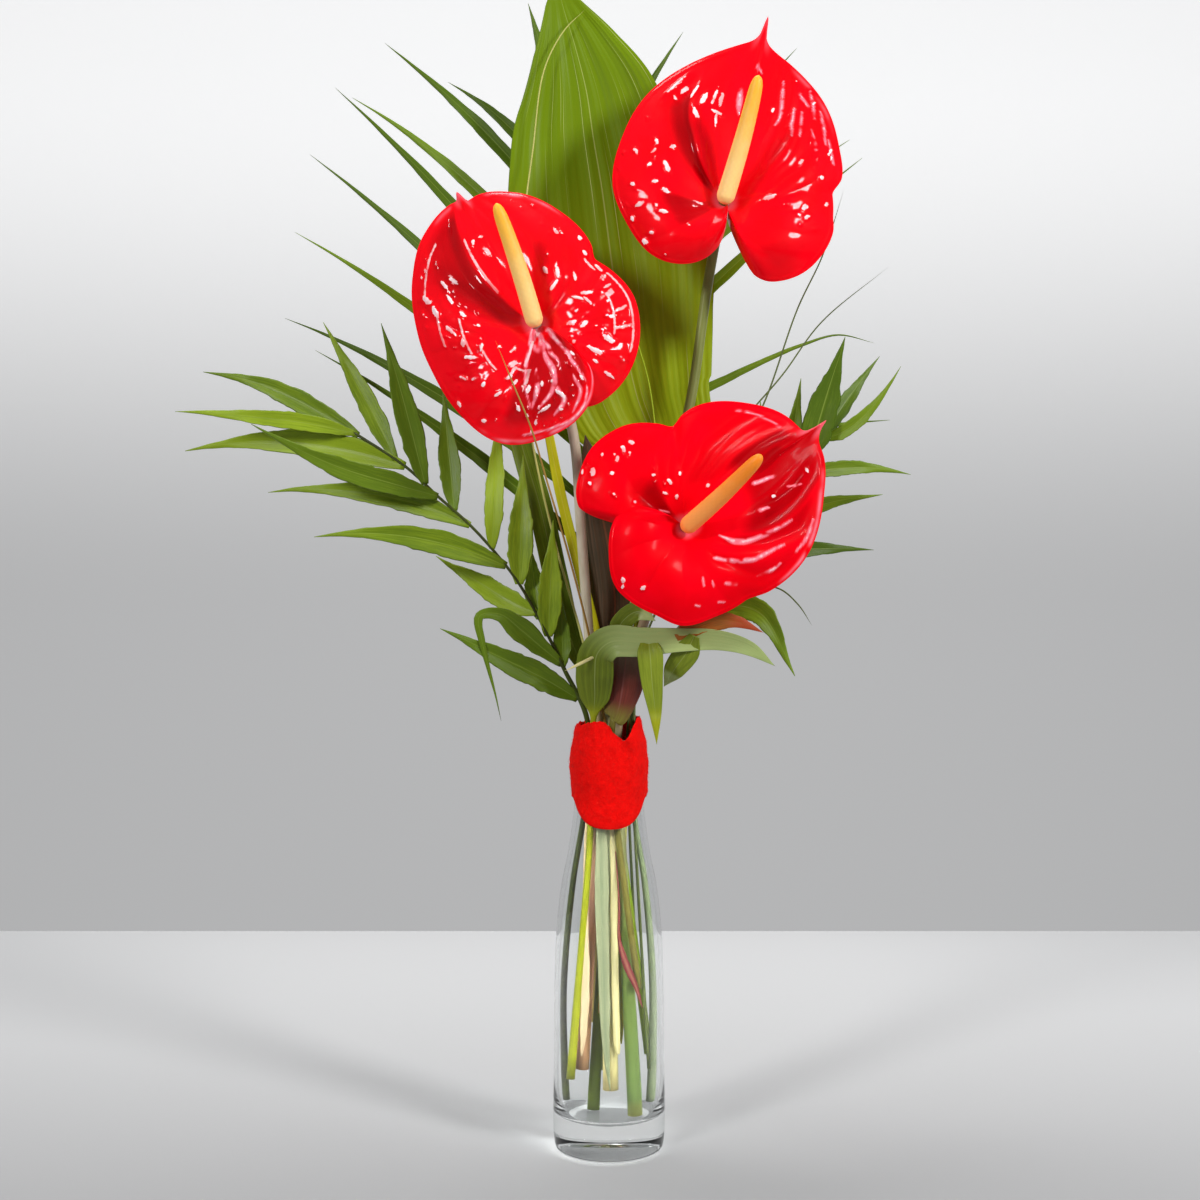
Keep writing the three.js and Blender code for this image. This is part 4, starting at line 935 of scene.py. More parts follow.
class BouquetFlowerSettings(bpy.types.PropertyGroup):
    """The anthuriums."""
    spathe_colour: colour_setting("Spathe", "Main red of the spathes", (0.96, 0.0, 0.008))
    spathe_dark: colour_setting("Spathe shade", "Deeper red patches", (0.84, 0.0, 0.005))
    # Painted shade: the red laid into creases and painted shadows.
    crease_colour: colour_setting("Creases", "Red down in the creases", (0.36, 0.0, 0.002))
    # Also the colour of the painted sheen on streaks and rims.
    pale_and_sheen_colour: colour_setting("Pale parts", "Pink of the heart and the tip", (0.95, 0.24, 0.32))
    # Painted highlights on the welts and fine veins, with the two strengths below.
    highlight_colour: colour_setting("Crests", "Painted highlight on the welts", (0.95, 0.78, 0.8))
    welt_highlight: share_setting("White welts", "How white the crests of the welts are", 0.95)
    vein_highlight: share_setting("White veins", "How white the crests of the fine veins are", 0.6)
    rib_spacing: bpy.props.FloatProperty(
        name="Rib spacing", description="Angle between main veins at the heart", default=math.radians(24),
        min=0.1, subtype="ANGLE", unit="ROTATION",
    )
    rib_relief: length_setting("Rib relief", "Height of the puckers between veins", 0.7)
    welt_spacing: length_setting("Welt spacing", "Distance between the small welts", 5.6)
    welt_height: length_setting("Welt height", "Height of the small welts", 0.95)
    lip_height: length_setting("Rolled rim", "Height of the rolled rim", 0.35)
    fleck_relief: length_setting("Fleck relief", "Height of the finest unevenness", 0.12)
    spadix_base: colour_setting("Spadix base", "Cream at the foot of the spadix", (1.0, 0.66, 0.24))
    spadix_tip: colour_setting("Spadix tip", "Yellow at the end of the spadix", (0.95, 0.47, 0.03))
    orange_base: colour_setting("Orange spadix", "Foot of the right flower's spadix", (1.0, 0.36, 0.08))
    orange_tip: colour_setting("Orange spadix tip", "End of the right flower's spadix", (0.95, 0.26, 0.01))


class BouquetFoliageSettings(bpy.types.PropertyGroup):
    """Leaves, fronds and grass."""
    light_green: colour_setting("Light green", "Sunlit green of the palm leaflets", (0.26, 0.36, 0.014))
    dark_green: colour_setting("Dark green", "Shaded green of the palm leaflets", (0.1, 0.165, 0.006))
    vein_green: colour_setting("Veins", "Pale green of the ribs", (0.3, 0.38, 0.07))
    leaflet_wave: length_setting("Leaflet wave", "How far leaflets wander from straight", 1.2)


class BouquetStageSettings(bpy.types.PropertyGroup):
    """Floor, wall, lamps and camera."""
    # The floor's and the wall's grades are painted light: the floor darker before the vase, the wall paler
    # upward, and the wall glows.
    floor_far: colour_setting("Far floor", "The floor at its far edge", (0.78, 0.78, 0.783))
    floor_near: colour_setting("Near floor", "The floor before the vase", (0.25, 0.25, 0.253))
    wall_colour: colour_setting("Wall", "Pale grey wall", (0.47, 0.47, 0.472))
    wall_top: colour_setting("Wall top", "The wall's paler upper part", (0.97, 0.97, 0.97))
    wall_glow: share_setting("Wall glow", "How far the wall lights itself", 0.55)
    key_power: power_setting("Key lamp", "Lamp at the right", 20)
    fill_power: power_setting("Fill lamp", "Lamp at the left", 15)
    top_power: power_setting("Top lamp", "Lamp overhead", 8)
    camera_distance: length_setting("Camera distance", "From the vase's axis", 942)
    camera_height: length_setting("Camera height", "Above the floor", 310.3)


# ---- Vase and sleeve ----

def lathe_profile():
    """The vase's section with its corners rounded off, in fine steps."""
    outside = curve([(r, 0, z) for r, z in VASE_OUTER], 8)
    rim = curve([(16.7, 0, 230), (16.1, 0, 229.8), (15.6, 0, 228.5)], 5)[1:-1]
    inside = curve([(r, 0, z) for r, z in VASE_INNER[:-1]], 8)
    return np.vstack([outside, rim, inside])[:, [0, 2]]


def vase_shell(sides):
    """The vase's wall and floor, turned about the vertical."""
    profile = lathe_profile()
    angle = turns(sides)
    radius, height = profile[:, :1], profile[:, 1:]
    points = np.stack([radius * np.cos(angle), radius * np.sin(angle), height + 0 * angle], axis=-1)
    count = len(profile) * sides
    index, faces = ring_faces(count, sides)
    faces = faces.tolist()
    for ring, middle in ((index[0], count), (index[-1], count + 1)):
        faces += [[int(a), int(b), middle] for a, b in zip(ring, np.roll(ring, -1))]
    ends = np.array([(0, 0, 0), (0, 0, VASE_INNER[-1][1])])
    return np.vstack([points.reshape(-1, 3), ends]), faces, {}


def sleeve_surface(angle, share, settings):
    """Points of the felt's outer face and its inner face."""
    hem = SLEEVE["hem"] - SLEEVE["hem_dip"] * smoothstep(-np.sin(angle), 0.25, 1) + 0.4 * np.sin(5 * angle)
    from_notch = np.arccos(np.cos(angle - NOTCH["angle"]))
    notch = NOTCH["depth"] * hump(from_notch / NOTCH["width"])
    top = SLEEVE["top"] - notch - NOTCH["left_drop"] * smoothstep(-np.cos(angle), 0, 1)
    rim = np.stack([np.cos(angle), np.sin(angle)], axis=-1) * SLEEVE_RADIUS[-1][1]
    top = top - 0.9 * (1 + noise(rim, 2.2, 8)) - 0.5 * (1 + noise(rim, 0.9, 9))
    z = hem + (top - hem) * share
    outside = smooth_values(z, SLEEVE_RADIUS)
    glass = np.interp(z, *np.array(VASE_OUTER[2:])[:, ::-1].T)
    over_glass = np.where(z < GLASS_TOP + 1, glass + SLEEVE["clearance"], 0)
    spot = np.stack([outside * np.cos(angle), outside * np.sin(angle), z], axis=-1)
    lumps = noise(spot, 7, 3) + 0.6 * noise(spot, 2.6, 4) + 0.35 * noise(spot, 1.3, 5)
    edge = smoothstep(share, 0, 0.04) * smoothstep(1 - share, 0, 0.04)
    outside = outside + settings.felt_relief / MM * lumps * edge
    inside = np.maximum(outside - SLEEVE["thickness"] * (0.25 + 0.75 * edge), over_glass)
    outside = np.maximum(outside - 0.5 * (1 - edge), inside + 0.1)
    return [np.stack([r * np.cos(angle), r * np.sin(angle), z], axis=-1) for r in (outside, inside)]


def sleeve_shell(settings):
    """The felt as one closed ring."""
    share, angle = np.meshgrid(np.linspace(0, 1, 64), np.linspace(0, 2 * math.pi, 181), indexing="ij")
    return sheet_shell(*sleeve_surface(angle, share, settings), {}, ring=True)


def fibre_shells(settings):
    """Loose fibres that stand out of the felt, each a thin three-sided needle."""
    random = np.random.default_rng(FIBRE_SEED)
    count = settings.fibre_count
    angle = random.uniform(0, 2 * math.pi, count)
    share = random.uniform(0.01, 0.99, count)
    root = sleeve_surface(angle, share, settings)[0]
    outward = np.stack([np.cos(angle), np.sin(angle), 0 * angle], axis=-1)
    lean = random.normal(0, 1, (count, 3))
    lean = 0.8 * lean * (1 - 0.5 * np.abs(outward))
    direction = unit(outward * random.uniform(0.25, 1.0, (count, 1)) + lean)
    direction += outward * np.maximum(0, 0.15 - np.sum(direction * outward, axis=1))[:, None]
    reach = settings.fibre_length / MM * random.uniform(0.35, 1, (count, 1))
    side = unit(np.cross(direction, random.normal(0, 1, (count, 3))))
    other = np.cross(direction, side)
    base = root - FIBRE_ROOT * outward
    corners = [base + FIBRE_RADIUS * (side * math.cos(a) + other * math.sin(a)) for a in THIRDS]
    points = np.stack([*corners, root + direction * reach], axis=1).reshape(-1, 3)
    first = 4 * np.arange(count)[:, None]
    faces = np.concatenate([first + np.array(f) for f in ((0, 1, 3), (1, 2, 3), (2, 0, 3), (2, 1, 0))])
    return [(points, faces, {})]


class BOUQUET_OT_vase(bpy.types.Operator):
    """Builds the glass vase"""
    bl_idname = "bouquet.vase"
    bl_label = "Vase"

    def execute(self, context):
        settings = context.scene.bouquet_holder
        shell = vase_shell(settings.glass_sides)
        piece("vase_glass", [shell], glass_material(settings.glass_tint), ["vase"])
        return {"FINISHED"}


class BOUQUET_OT_sleeve(bpy.types.Operator):
    """Builds the felt sleeve and its loose fibres"""
    bl_idname = "bouquet.sleeve"
    bl_label = "Felt sleeve"

    def execute(self, context):
        settings = context.scene.bouquet_holder
        felt = felt_material(settings.felt_colour)
        sleeve = piece("sleeve_felt", [sleeve_shell(settings)], felt, ["neck_sleeve"])
        fuzz = piece("sleeve_fibres", fibre_shells(settings), felt, [])
        return {"FINISHED"}


# ---- Anthuriums ----

def tip_direction(flower):
    """From the heart towards the tip."""
    angle = math.radians(flower["tip_angle"])
    return np.array((math.cos(angle), 0, math.sin(angle)))


def line_relief(flower, vein, s, reach):
    """Fine raised veins, from 0 to 1, whose crests are painted as whitish highlights. Each runs along the rim
    or along a vein.
    """
    raised = np.zeros_like(s)
    for first, last, start, end in flower.get("lines", ()):
        sideways = np.radians(np.maximum(0, np.maximum(first - vein, vein - last))) * reach
        outward = np.maximum(0, np.maximum(start - s, s - end)) * reach / np.maximum(s, 0.05)
        raised = np.maximum(raised, np.exp(-(sideways**2 + outward**2) / LINE_SPREAD))
    return raised


def stroke_relief(flower, place):
    """The single long welts, from 0 to 1, whose crests are painted as whitish highlights; place is counted
    from the heart.
    """
    top = np.zeros(place.shape[:-1])
    for right, up, length, width, direction in flower["strokes"]:
        turn = math.radians(direction)
        away = place - np.array((right, up))
        far = ((away @ np.array((math.cos(turn), math.sin(turn)))) / length) ** 2
        far = far + ((away @ np.array((-math.sin(turn), math.cos(turn)))) / width) ** 2
        top = np.maximum(top, np.maximum(0, 1 - far) ** 2)
    return top


def streak_relief(flower, place):
    """The raised lines painted pale as sheen, from 0 to 1; place is counted from the heart."""
    top = np.zeros(place.shape[:-1])
    for points in flower["sheen_streaks"]:
        line = curve(points, 4)
        for (*start, before), (*end, after) in zip(line[:-1], line[1:]):
            step = np.array(end) - np.array(start)
            share = np.clip((place - np.array(start)) @ step / (step @ step), 0, 1)
            away = np.linalg.norm(place - np.array(start) - share[..., None] * step, axis=-1)
            far = (away / (before + (after - before) * share)) ** 2
            top = np.maximum(top, np.maximum(0, 1 - far) ** 1.5)
    return top


def zone(x, low, high, soft):
    """1 from low to high, with soft ends."""
    return smoothstep(x, low - soft, low + soft) * smoothstep(-x, -high - soft, soft - high)


def spathe_relief(flower, settings, seed, s, vein, reach, ray, from_tip):
    """How far the spathe's surface stands out from its plain form, how much painted shade darkens its
    creases and painted shadows, and how strongly welts, fine veins and streaks rise, which also sets
    their painted highlights and sheen."""
    flat_place = ray[..., [0, 2]] + np.array(flower["heart"])[[0, 2]]
    away_from_tip = smoothstep(np.linalg.norm(from_tip, axis=-1), 5, 22)
    within = smoothstep(1 - s, 0.0, 0.14) * away_from_tip
    row = vein / math.degrees(settings.rib_spacing) + 0.14 * noise(flat_place, 16, seed)
    pucker = 1 - (1 - 2 * np.abs(row - np.round(row))) ** 2
    strength = (0.6 + 0.6 * noise(flat_place, 22, seed + 5)) * smoothstep(s, 0.2, 0.45) * within
    raised = settings.rib_relief / MM * (pucker - 0.6) * strength
    # Painted shade: the grooves between puckers, the furrows and the folds are coloured darker.
    crease = 0.12 * (1 - pucker) ** 4 * strength
    wander = vein + 2.5 * noise(flat_place, 12, seed + 3)
    for first, last, spacing, depth in flower["furrows"]:
        part = zone(wander, first, last, 5) * smoothstep(s, 0.25, 0.5) * within
        ridge = np.abs(np.sin(math.pi * (wander - first) / spacing))
        raised = raised + depth * (ridge - 0.6) * part
        crease = crease + 0.18 * (1 - ridge) ** 3 * part
    for at, below, above, depth, start, end in flower["folds"]:
        off = (wander - at) / np.where(wander < at, below, above)
        fold = hump(off) * smoothstep(s, start, start + 0.2) * smoothstep(end + 0.1 - s, 0, 0.2) * within
        raised = raised - depth * fold
        crease = crease + 0.12 * depth * fold
    # Painted shadows: broad zones coloured a darker red where shade falls.
    for start, full, fade, end, inner, outer, dark in flower["painted_shadows"]:
        shadow_zone = smoothstep(wander, start, full) * smoothstep(-wander, -end, -fade)
        crease = np.maximum(crease, dark * shadow_zone * zone(s, inner, outer, 0.07))
    density = np.max([
        share * zone(vein, first, last, 5) * zone(s, start, end, 0.04)
        for first, last, start, end, share in flower["welts"]
    ], axis=0)
    run = ray / np.sum(ray**2, axis=-1)[..., None] - from_tip / np.sum(from_tip**2, axis=-1)[..., None]
    dome = welts(flat_place, unit(run)[..., [0, 2]], settings.welt_spacing / MM, density, seed + 9)
    dome = dome * away_from_tip
    strokes = stroke_relief(flower, ray[..., [0, 2]])
    # Sheen streaks: raised lines whose pink and whitish colour is painted sheen.
    sheen_streak = streak_relief(flower, ray[..., [0, 2]] + 0.5 * noise(flat_place, 4, seed + 15)[..., None])
    sheen_streak = sheen_streak * smoothstep(noise(flat_place, 2.4, seed + 19), -1, 0.1)
    line = np.maximum(line_relief(flower, vein, s, reach), 0.74 * sheen_streak)
    raised = raised + settings.welt_height / MM * np.maximum(dome, strokes) + 0.5 * line
    fine = noise(flat_place, 3.4, seed + 7) * smoothstep(density, 0, 0.3) * within
    raised = raised + settings.fleck_relief / MM * fine
    # The third value marks painted whitish highlights on the crests of welts and strokes; the fourth and
    # fifth carry the painted highlights and sheen of the fine veins and streaks.
    return raised, np.clip(crease * (1 - sheen_streak), 0, 1), np.maximum(0.78 * dome, strokes), line, sheen_streak


def spathe_shell(flower, settings, seed):
    """The heart-shaped spathe: its form, its folds and furrows, small welts and a rolled rim."""
    outline = np.array(flower["outline"], float)
    first, last = outline[0, 0], outline[-1, 0]
    even = np.linspace(first, last, 2000)
    arc = np.cumsum(np.maximum(smooth_values(even, outline), 35))
    around = np.interp(np.linspace(arc[0], arc[-1], COLUMNS), arc, even)
    angle = np.unique(np.concatenate([around, [-2.4, -1.2, -0.5, 0, 0.5, 1.2, 2.4]]).round(3))
    share = np.concatenate([np.linspace(0, 0.955, ROWS), [0.963, 0.971, 0.979, 0.987, 0.993, 0.998, 1]])
    s, a = np.meshgrid(share, angle[::-1], indexing="ij")
    bearing = np.radians(flower["tip_angle"] + a)
    reach = SPATHE_HOLE + (smooth_values(a, outline) - SPATHE_HOLE) * s
    ray = np.stack([np.cos(bearing), 0 * bearing, np.sin(bearing)], axis=-1) * reach[..., None]
    near = flower["near_side"]
    turn = (a - (first + last) / 2) / (last - first)
    off_midrib = 1 - flower["midrib"] * hump(a / 24)
    lobe = smoothstep(np.abs(a), 110, 200) * np.sign(a) * near
    form = (
        HELIX * near * turn
        + flower["bulge"] * np.sin(math.pi * np.minimum(1, s * 1.02)) * off_midrib
        - 0.35 * flower["bulge"] * s**4
        + flower["lobe_lift"] * lobe * s
        + flower["lean"] * (ray @ tip_direction(flower))
    )
    tip = tip_direction(flower) * smooth_values(np.zeros(1), outline) * 1.03
    from_tip = ray - tip
    vein = a - np.degrees(np.arctan2(np.cross(from_tip, -tip)[..., 1], from_tip @ -tip))
    raised, crease, dome, line, sheen_streak = spathe_relief(flower, settings, seed, s, vein, reach, ray, from_tip)
    lip = hump((s - RIM) / RIM_WIDTH) * smoothstep(np.abs(a), 3, 12)
    depth = form + raised + settings.lip_height / MM * lip
    ends = 1 - np.abs(2 * np.arange(len(angle)) / (len(angle) - 1) - 1) ** 60
    skin = 0.42 * SPATHE_THICKNESS * np.sqrt(1 - s**12) * np.sqrt(np.maximum(ends, 0))
    # Pink at the tip and the heart, and painted sheen along the streaks and on the rim highlights.
    pale = flower["tip_pale"] * smoothstep(s, 0.91, 0.99) * smoothstep(4 - np.abs(a), 0, 3)
    pale = np.maximum(pale, 0.5 * smoothstep(0.1 - s, 0, 0.1))
    pale = np.maximum(pale, 0.8 * smoothstep(sheen_streak, 0, 0.6))
    # Rim highlights: a pink line painted on the rim as sheen, broken in patches.
    patchy = smoothstep(noise(ray[..., [0, 2]], 6, seed + 17), -0.9, 0.2)
    rim = patchy * hump((s - RIM) / RIM_HIGHLIGHT_WIDTH)
    for low, high, strength in flower["rim_highlights"]:
        pale = np.maximum(pale, strength * rim * zone(vein, low, high, 6))
    middle = np.array(flower["heart"]) + ray + FRONT * depth[..., None]
    grids = [middle + side * FRONT * skin[..., None] for side in (1, -1)]
    return sheet_shell(*grids, {"crease": crease, "pale": pale, "welt": dome, "line": line})


def spadix_shell(flower):
    """The spadix, covered in rows of small beads."""
    foot = np.array(flower["heart"]) + FRONT * SPADIX_FORWARD + tip_direction(flower) * SPADIX_UP
    axis = np.array(flower["spadix_tip"]) - foot
    length, radius = np.linalg.norm(axis), flower["spadix_radius"]
    profile = [
        (-0.98 * radius, 0), (-0.9 * radius, 0.4 * radius), (-0.6 * radius, 0.78 * radius), (0, radius),
        (0.35 * length, 0.95 * radius), (0.65 * length, 0.85 * radius), (0.88 * length, 0.72 * radius),
        (0.95 * length, 0.56 * radius), (0.985 * length, 0.32 * radius), (length, 0),
    ]
    share = np.linspace(0, 1, 150)
    share = share - 0.06 * np.sin(2 * math.pi * share) / (2 * math.pi)
    height = -0.98 * radius + (length + 0.98 * radius) * share
    reach = smooth_values(height, profile)
    along = axis / length
    side = unit(np.cross(along, FRONT))
    front = np.cross(side, along)
    level = np.clip(height / length, 0, 1)[:, None]
    bow = side * (SPADIX_BOW * np.sin(math.pi * level))[..., None]
    sides = 72
    angle = turns(sides)
    spiral = height[:, None] / 1.9
    a, b = 13 * angle / (2 * math.pi) + spiral / 2, 8 * angle / (2 * math.pi) - spiral / 2
    bead = np.abs(np.sin(math.pi * a)) * np.abs(np.sin(math.pi * b))
    reach = reach[:, None] + 0.05 * (bead - 0.5) * smoothstep(reach, 0.5, 3)[:, None]
    ring = side * np.cos(angle)[:, None] + front * np.sin(angle)[:, None]
    points = (foot + along * height[:, None, None] + bow + ring * reach[..., None]).reshape(-1, 3)
    values = {"along": np.broadcast_to(level, bead.shape).ravel(), "seam": (0.07 * (1 - bead)).ravel()}
    return points, ring_faces(len(points), sides)[1], values


def flower_stem_shell(flower):
    """A stem from its foot to just behind the heart, which it meets square on."""
    heart = np.array(flower["heart"])
    square = [tuple(heart + FRONT * depth) for depth in (-8, -3, STEM_END)]
    line = curve([*upright([flower["foot"]], flower["slot"]), *flower["rise"], *square], 14)
    radius = flared(line, STEM_RADIUS, flower["foot_radius"])
    return tube_shell(line, radius, 28, {"along": lengths(line)}, 0.018)


class BOUQUET_OT_spathes(bpy.types.Operator):
    """Builds the glossy red spathes"""
    bl_idname = "bouquet.spathes"
    bl_label = "Spathes"

    def execute(self, context):
        settings = context.scene.bouquet_flowers
        for seed, (name, flower) in enumerate(FLOWERS.items()):
            material = spathe_material(settings, f"waxy_spathe_{name}", *flower["coat"])
            shell = spathe_shell(flower, settings, 20 * seed + 1)
            piece(f"anthurium_{name}_bract", [shell], material, [f"anthurium_{name}_spathe"])
        return {"FINISHED"}


class BOUQUET_OT_spadices(bpy.types.Operator):
    """Builds the beaded spadices"""
    bl_idname = "bouquet.spadices"
    bl_label = "Spadices"

    def execute(self, context):
        settings = context.scene.bouquet_flowers
        yellow = spadix_material("yellow_spadix", settings.spadix_base, settings.spadix_tip)
        orange = spadix_material("orange_spadix", settings.orange_base, settings.orange_tip)
        for name, flower in FLOWERS.items():
            material = orange if name == "right" else yellow
            shell = spadix_shell(flower)
            piece(f"anthurium_{name}_spike", [shell], material, [f"anthurium_{name}_spadix"])
        return {"FINISHED"}


# Colour stops (share of the length from the foot, colour) of the three stems.
STEM_COLOURS = {
    "left": [
        (0, (0.55, 0.3, 0.14)), (1, (0.47, 0.38, 0.29)), (0.2, (0.78, 0.4, 0.27)), (0.42, (0.72, 0.55, 0.28)),
        (0.6, (0.64, 0.58, 0.44)),
    ],
    "top": [
        (0, (0.78, 0.66, 0.28)), (1, (0.2, 0.24, 0.04)), (0.12, (0.6, 0.62, 0.3)), (0.25, (0.5, 0.56, 0.3)),
        (0.45, (0.5, 0.52, 0.24)), (0.6, (0.24, 0.26, 0.08)),
    ],
    "right": [
        (0, (0.4, 0.42, 0.1)), (1, (0.3, 0.18, 0.12)), (0.03, (0.14, 0.22, 0.05)), (0.25, (0.17, 0.26, 0.04)),
        (0.6, (0.33, 0.26, 0.15)),
    ],
}

# Leaf sheaths that hang from the neck among the stems: the points down from the neck, with half
# widths, then a light tone, a dark one, and that of the middle.
SHEATHS = {
    "cream": ([
        (-2.5, -10.5, 205, 1.8), (-4.2, -12, 181, 3), (-3.9, -13, 142, 3.5), (-2.6, -13.5, 86, 3),
        (-1, -13.6, 52, 1.5), (0.6, -13.6, 37, 0.2),
    ], (0.44, 0.44, 0.26), (0.25, 0.29, 0.15), (0.2, 0.26, 0.14)),
    "straw": ([
        (1.2, -10, 205, 1), (2, -11.5, 181, 1.6), (2.6, -12, 142, 2), (3.4, -12.2, 90, 2.2),
        (4.4, -12.2, 64, 1.9), (5, -12.2, 57, 0.9),
    ], (0.78, 0.7, 0.34), (0.5, 0.44, 0.16), (0.8, 0.74, 0.42)),
    "olive": ([
        (9, -2, 205, 2.2), (7.6, -1, 181, 2.6), (6.6, -1, 142, 2.9), (5.6, -1, 100, 2.9), (6.4, -1, 72, 2),
        (7, -1, 60, 0.4),
    ], (0.5, 0.46, 0.06), (0.3, 0.32, 0.03), (0.4, 0.4, 0.1)),
    "tan": ([
        (-9.8, -7, 205, 0.5), (-12.4, -9.5, 181, 0.8), (-13, -11, 142, 1.4), (-13.2, -11.8, 100, 2.6),
        (-13.9, -11.8, 70, 2), (-15.2, -11.8, 56, 0.4),
    ], (0.75, 0.58, 0.34), (0.5, 0.32, 0.16), (0.7, 0.5, 0.3)),
    "umber": ([
        (0, 3, 205, 6), (-1, 4, 181, 7), (-0.5, 4, 142, 7), (1, 4, 118, 4), (2, 4, 100, 0.4),
    ], (0.09, 0.07, 0.025), (0.03, 0.025, 0.01), (0.05, 0.05, 0.02)),
    "russet": ([
        (3.5, -12, 170, 0.3), (5.4, -15.6, 141, 0.5), (5.6, -16.6, 121, 1), (9.5, -17.4, 108, 1.9),
        (14, -17.4, 97, 1.4), (18, -17, 84, 0.2),
    ], (0.2, 0.02, 0.025), (0.09, 0.01, 0.014), (0.4, 0.2, 0.12)),
}


class BOUQUET_OT_flower_stems(bpy.types.Operator):
    """Builds the anthuriums' stems"""
    bl_idname = "bouquet.flower_stems"
    bl_label = "Flower stems"

    def execute(self, context):
        for name, flower in FLOWERS.items():
            material = stem_material(f"stem_{name}", STEM_COLOURS[name])
            shell = flower_stem_shell(flower)
            piece(f"anthurium_{name}_stalk", [shell], material, [f"anthurium_{name}_stem"])
        return {"FINISHED"}


class BOUQUET_OT_sheaths(bpy.types.Operator):
    """Builds the thin leaf sheaths among the stems"""
    bl_idname = "bouquet.sheaths"
    bl_label = "Leaf sheaths"

    def execute(self, context):
        for i, (name, (points, light, dark, middle)) in enumerate(SHEATHS.items()):
            material = leaf_material(f"sheath_{name}", light, dark, middle, 6, 0.42, rib=0.7)
            stations = [(*point, 1.2) for point in points]
            stations[-1] = (*points[-1], 0.3)
            shell = blade_shell(stations, 14, 12, cup=0.25, relief=pleats(3, 0.1), shade=0.3 * i, ragged=0.12)
            piece(f"sheath_{name}_strip", [shell], material, [])
        return {"FINISHED"}


# ---- Foliage ----

def stalk(foot, slot, petiole):
    """A leaf stalk's stations, wider at its foot."""
    radii = (petiole[1], petiole[0], petiole[0])
    return [(*point, r, 2 * r) for point, r in zip(upright([foot], slot), radii)]


def pleats(count, height):
    """Shallow lengthwise ribs across a blade."""
    def relief(place, x, half):
        ribs = np.cos(x * math.pi * count) * smoothstep(half, 3, 12)
        fine = 0.35 * np.cos(x * math.pi * (3 * count + 1))
        return height * (ribs + fine - hump(x / 0.05))
    return relief


def aspidistra_relief(place, x, half):
    """Broad pleats, fine ribs, a sunken midrib and a slow wave along the edges."""
    broad = smoothstep(half, 6, 25)
    pleat = 0.55 * np.cos(x * math.pi * 5) + 0.16 * np.cos(x * math.pi * 23)
    wave = 1.8 * np.sin(place * 2.1 + 2.0 * x) * x * x
    return broad * (pleat + wave - 0.9 * hump(x / 0.035))


RELIEFS = {
    "aspidistra_leaf": aspidistra_relief, "strap_leaf": pleats(5, 0.12), "cordyline_leaf": pleats(8, 0.15),
    "striped_blade": pleats(3, 0.08), "bronze_leaf": pleats(6, 0.15),
}


def leaf_finishes():
    """The materials of the single leaves."""
    return {
        "amber": leaf_material(
            "amber_brown", (0.5, 0.13, 0.015), (0.2, 0.08, 0.01), (0.4, 0.16, 0.03), 9, 0.4,
            upper_colour=((0.45, 0.07, 0.02), 0.5, 0.8)),
        "spur": leaf_material("spur_cream", (0.78, 0.7, 0.36), (0.55, 0.5, 0.2), (0.7, 0.66, 0.3), 6, 0.45),
        # The aspidistra's pale streaks are painted reflections and its darker top is painted shade; its
        # lighter green below is painted light that evens out the shade the flowers cast.
        "aspidistra": leaf_material(
            "aspidistra_green", (0.37, 0.475, 0.01), (0.225, 0.315, 0.005), (0.55, 0.6, 0.2), 22, 0.42,
            rib=0.012, sheen_streak=0.8, stalk_colour=(0.24, 0.34, 0.02), upper_colour=((0.14, 0.225, 0.002), 0.62, 0.86),
            gloss=0.1),
        "strap": leaf_material(
            "strap_green", (0.17, 0.24, 0.008), (0.08, 0.12, 0.004), (0.25, 0.28, 0.08), 10, 0.4,
            stalk_colour=(0.62, 0.36, 0.2)),
        "cordyline": leaf_material(
            "cordyline_brown", (0.13, 0.07, 0.035), (0.035, 0.028, 0.012), (0.3, 0.09, 0.04), 14, 0.42,
            stalk_colour=(0.14, 0.2, 0.02)),
        "striped": leaf_material(
            "striped_yellow", (0.72, 0.66, 0.01), (0.42, 0.46, 0.01), (0.8, 0.75, 0.15), 8, 0.4,
            stalk_colour=(0.72, 0.52, 0.2)),
        "bronze": leaf_material(
            "bronze_red", (0.2, 0.035, 0.025), (0.08, 0.018, 0.012), (0.24, 0.08, 0.07), 12, 0.38,
            stalk_colour=(0.2, 0.19, 0.03), upper_colour=((0.17, 0.12, 0.085), 0.86, 0.97)),
        "collar": leaf_material(
            "collar_green", (0.22, 0.28, 0.02), (0.1, 0.14, 0.008), (0.38, 0.44, 0.16), 9, 0.4,
            rib=0.04, stalk_colour=(0.42, 0.44, 0.01), upper_colour=((0.32, 0.4, 0.14), 0.68, 0.76)),
    }


def palm_finishes(settings):
    """The materials of the three fronds."""
    light, dark, vein = settings.light_green, settings.dark_green, settings.vein_green
    return {
        "palm_back": leaf_material(
            "palm_back_green", (0.15, 0.24, 0.005), (0.07, 0.125, 0.003), vein, 7, 0.4,
            stalk_colour=(0.14, 0.17, 0.03)),
        "palm_left": leaf_material(
            "palm_left_green", light, dark, vein, 7, 0.36, rib=0.05, back=(0.2, 0.27, 0.05),
            stalk_colour=(0.03, 0.026, 0.012)),
        "palm_right": leaf_material(
            "palm_right_green", (0.17, 0.26, 0.012), (0.07, 0.125, 0.006), vein, 7, 0.38,
            stalk_colour=(0.25, 0.3, 0.17)),
    }


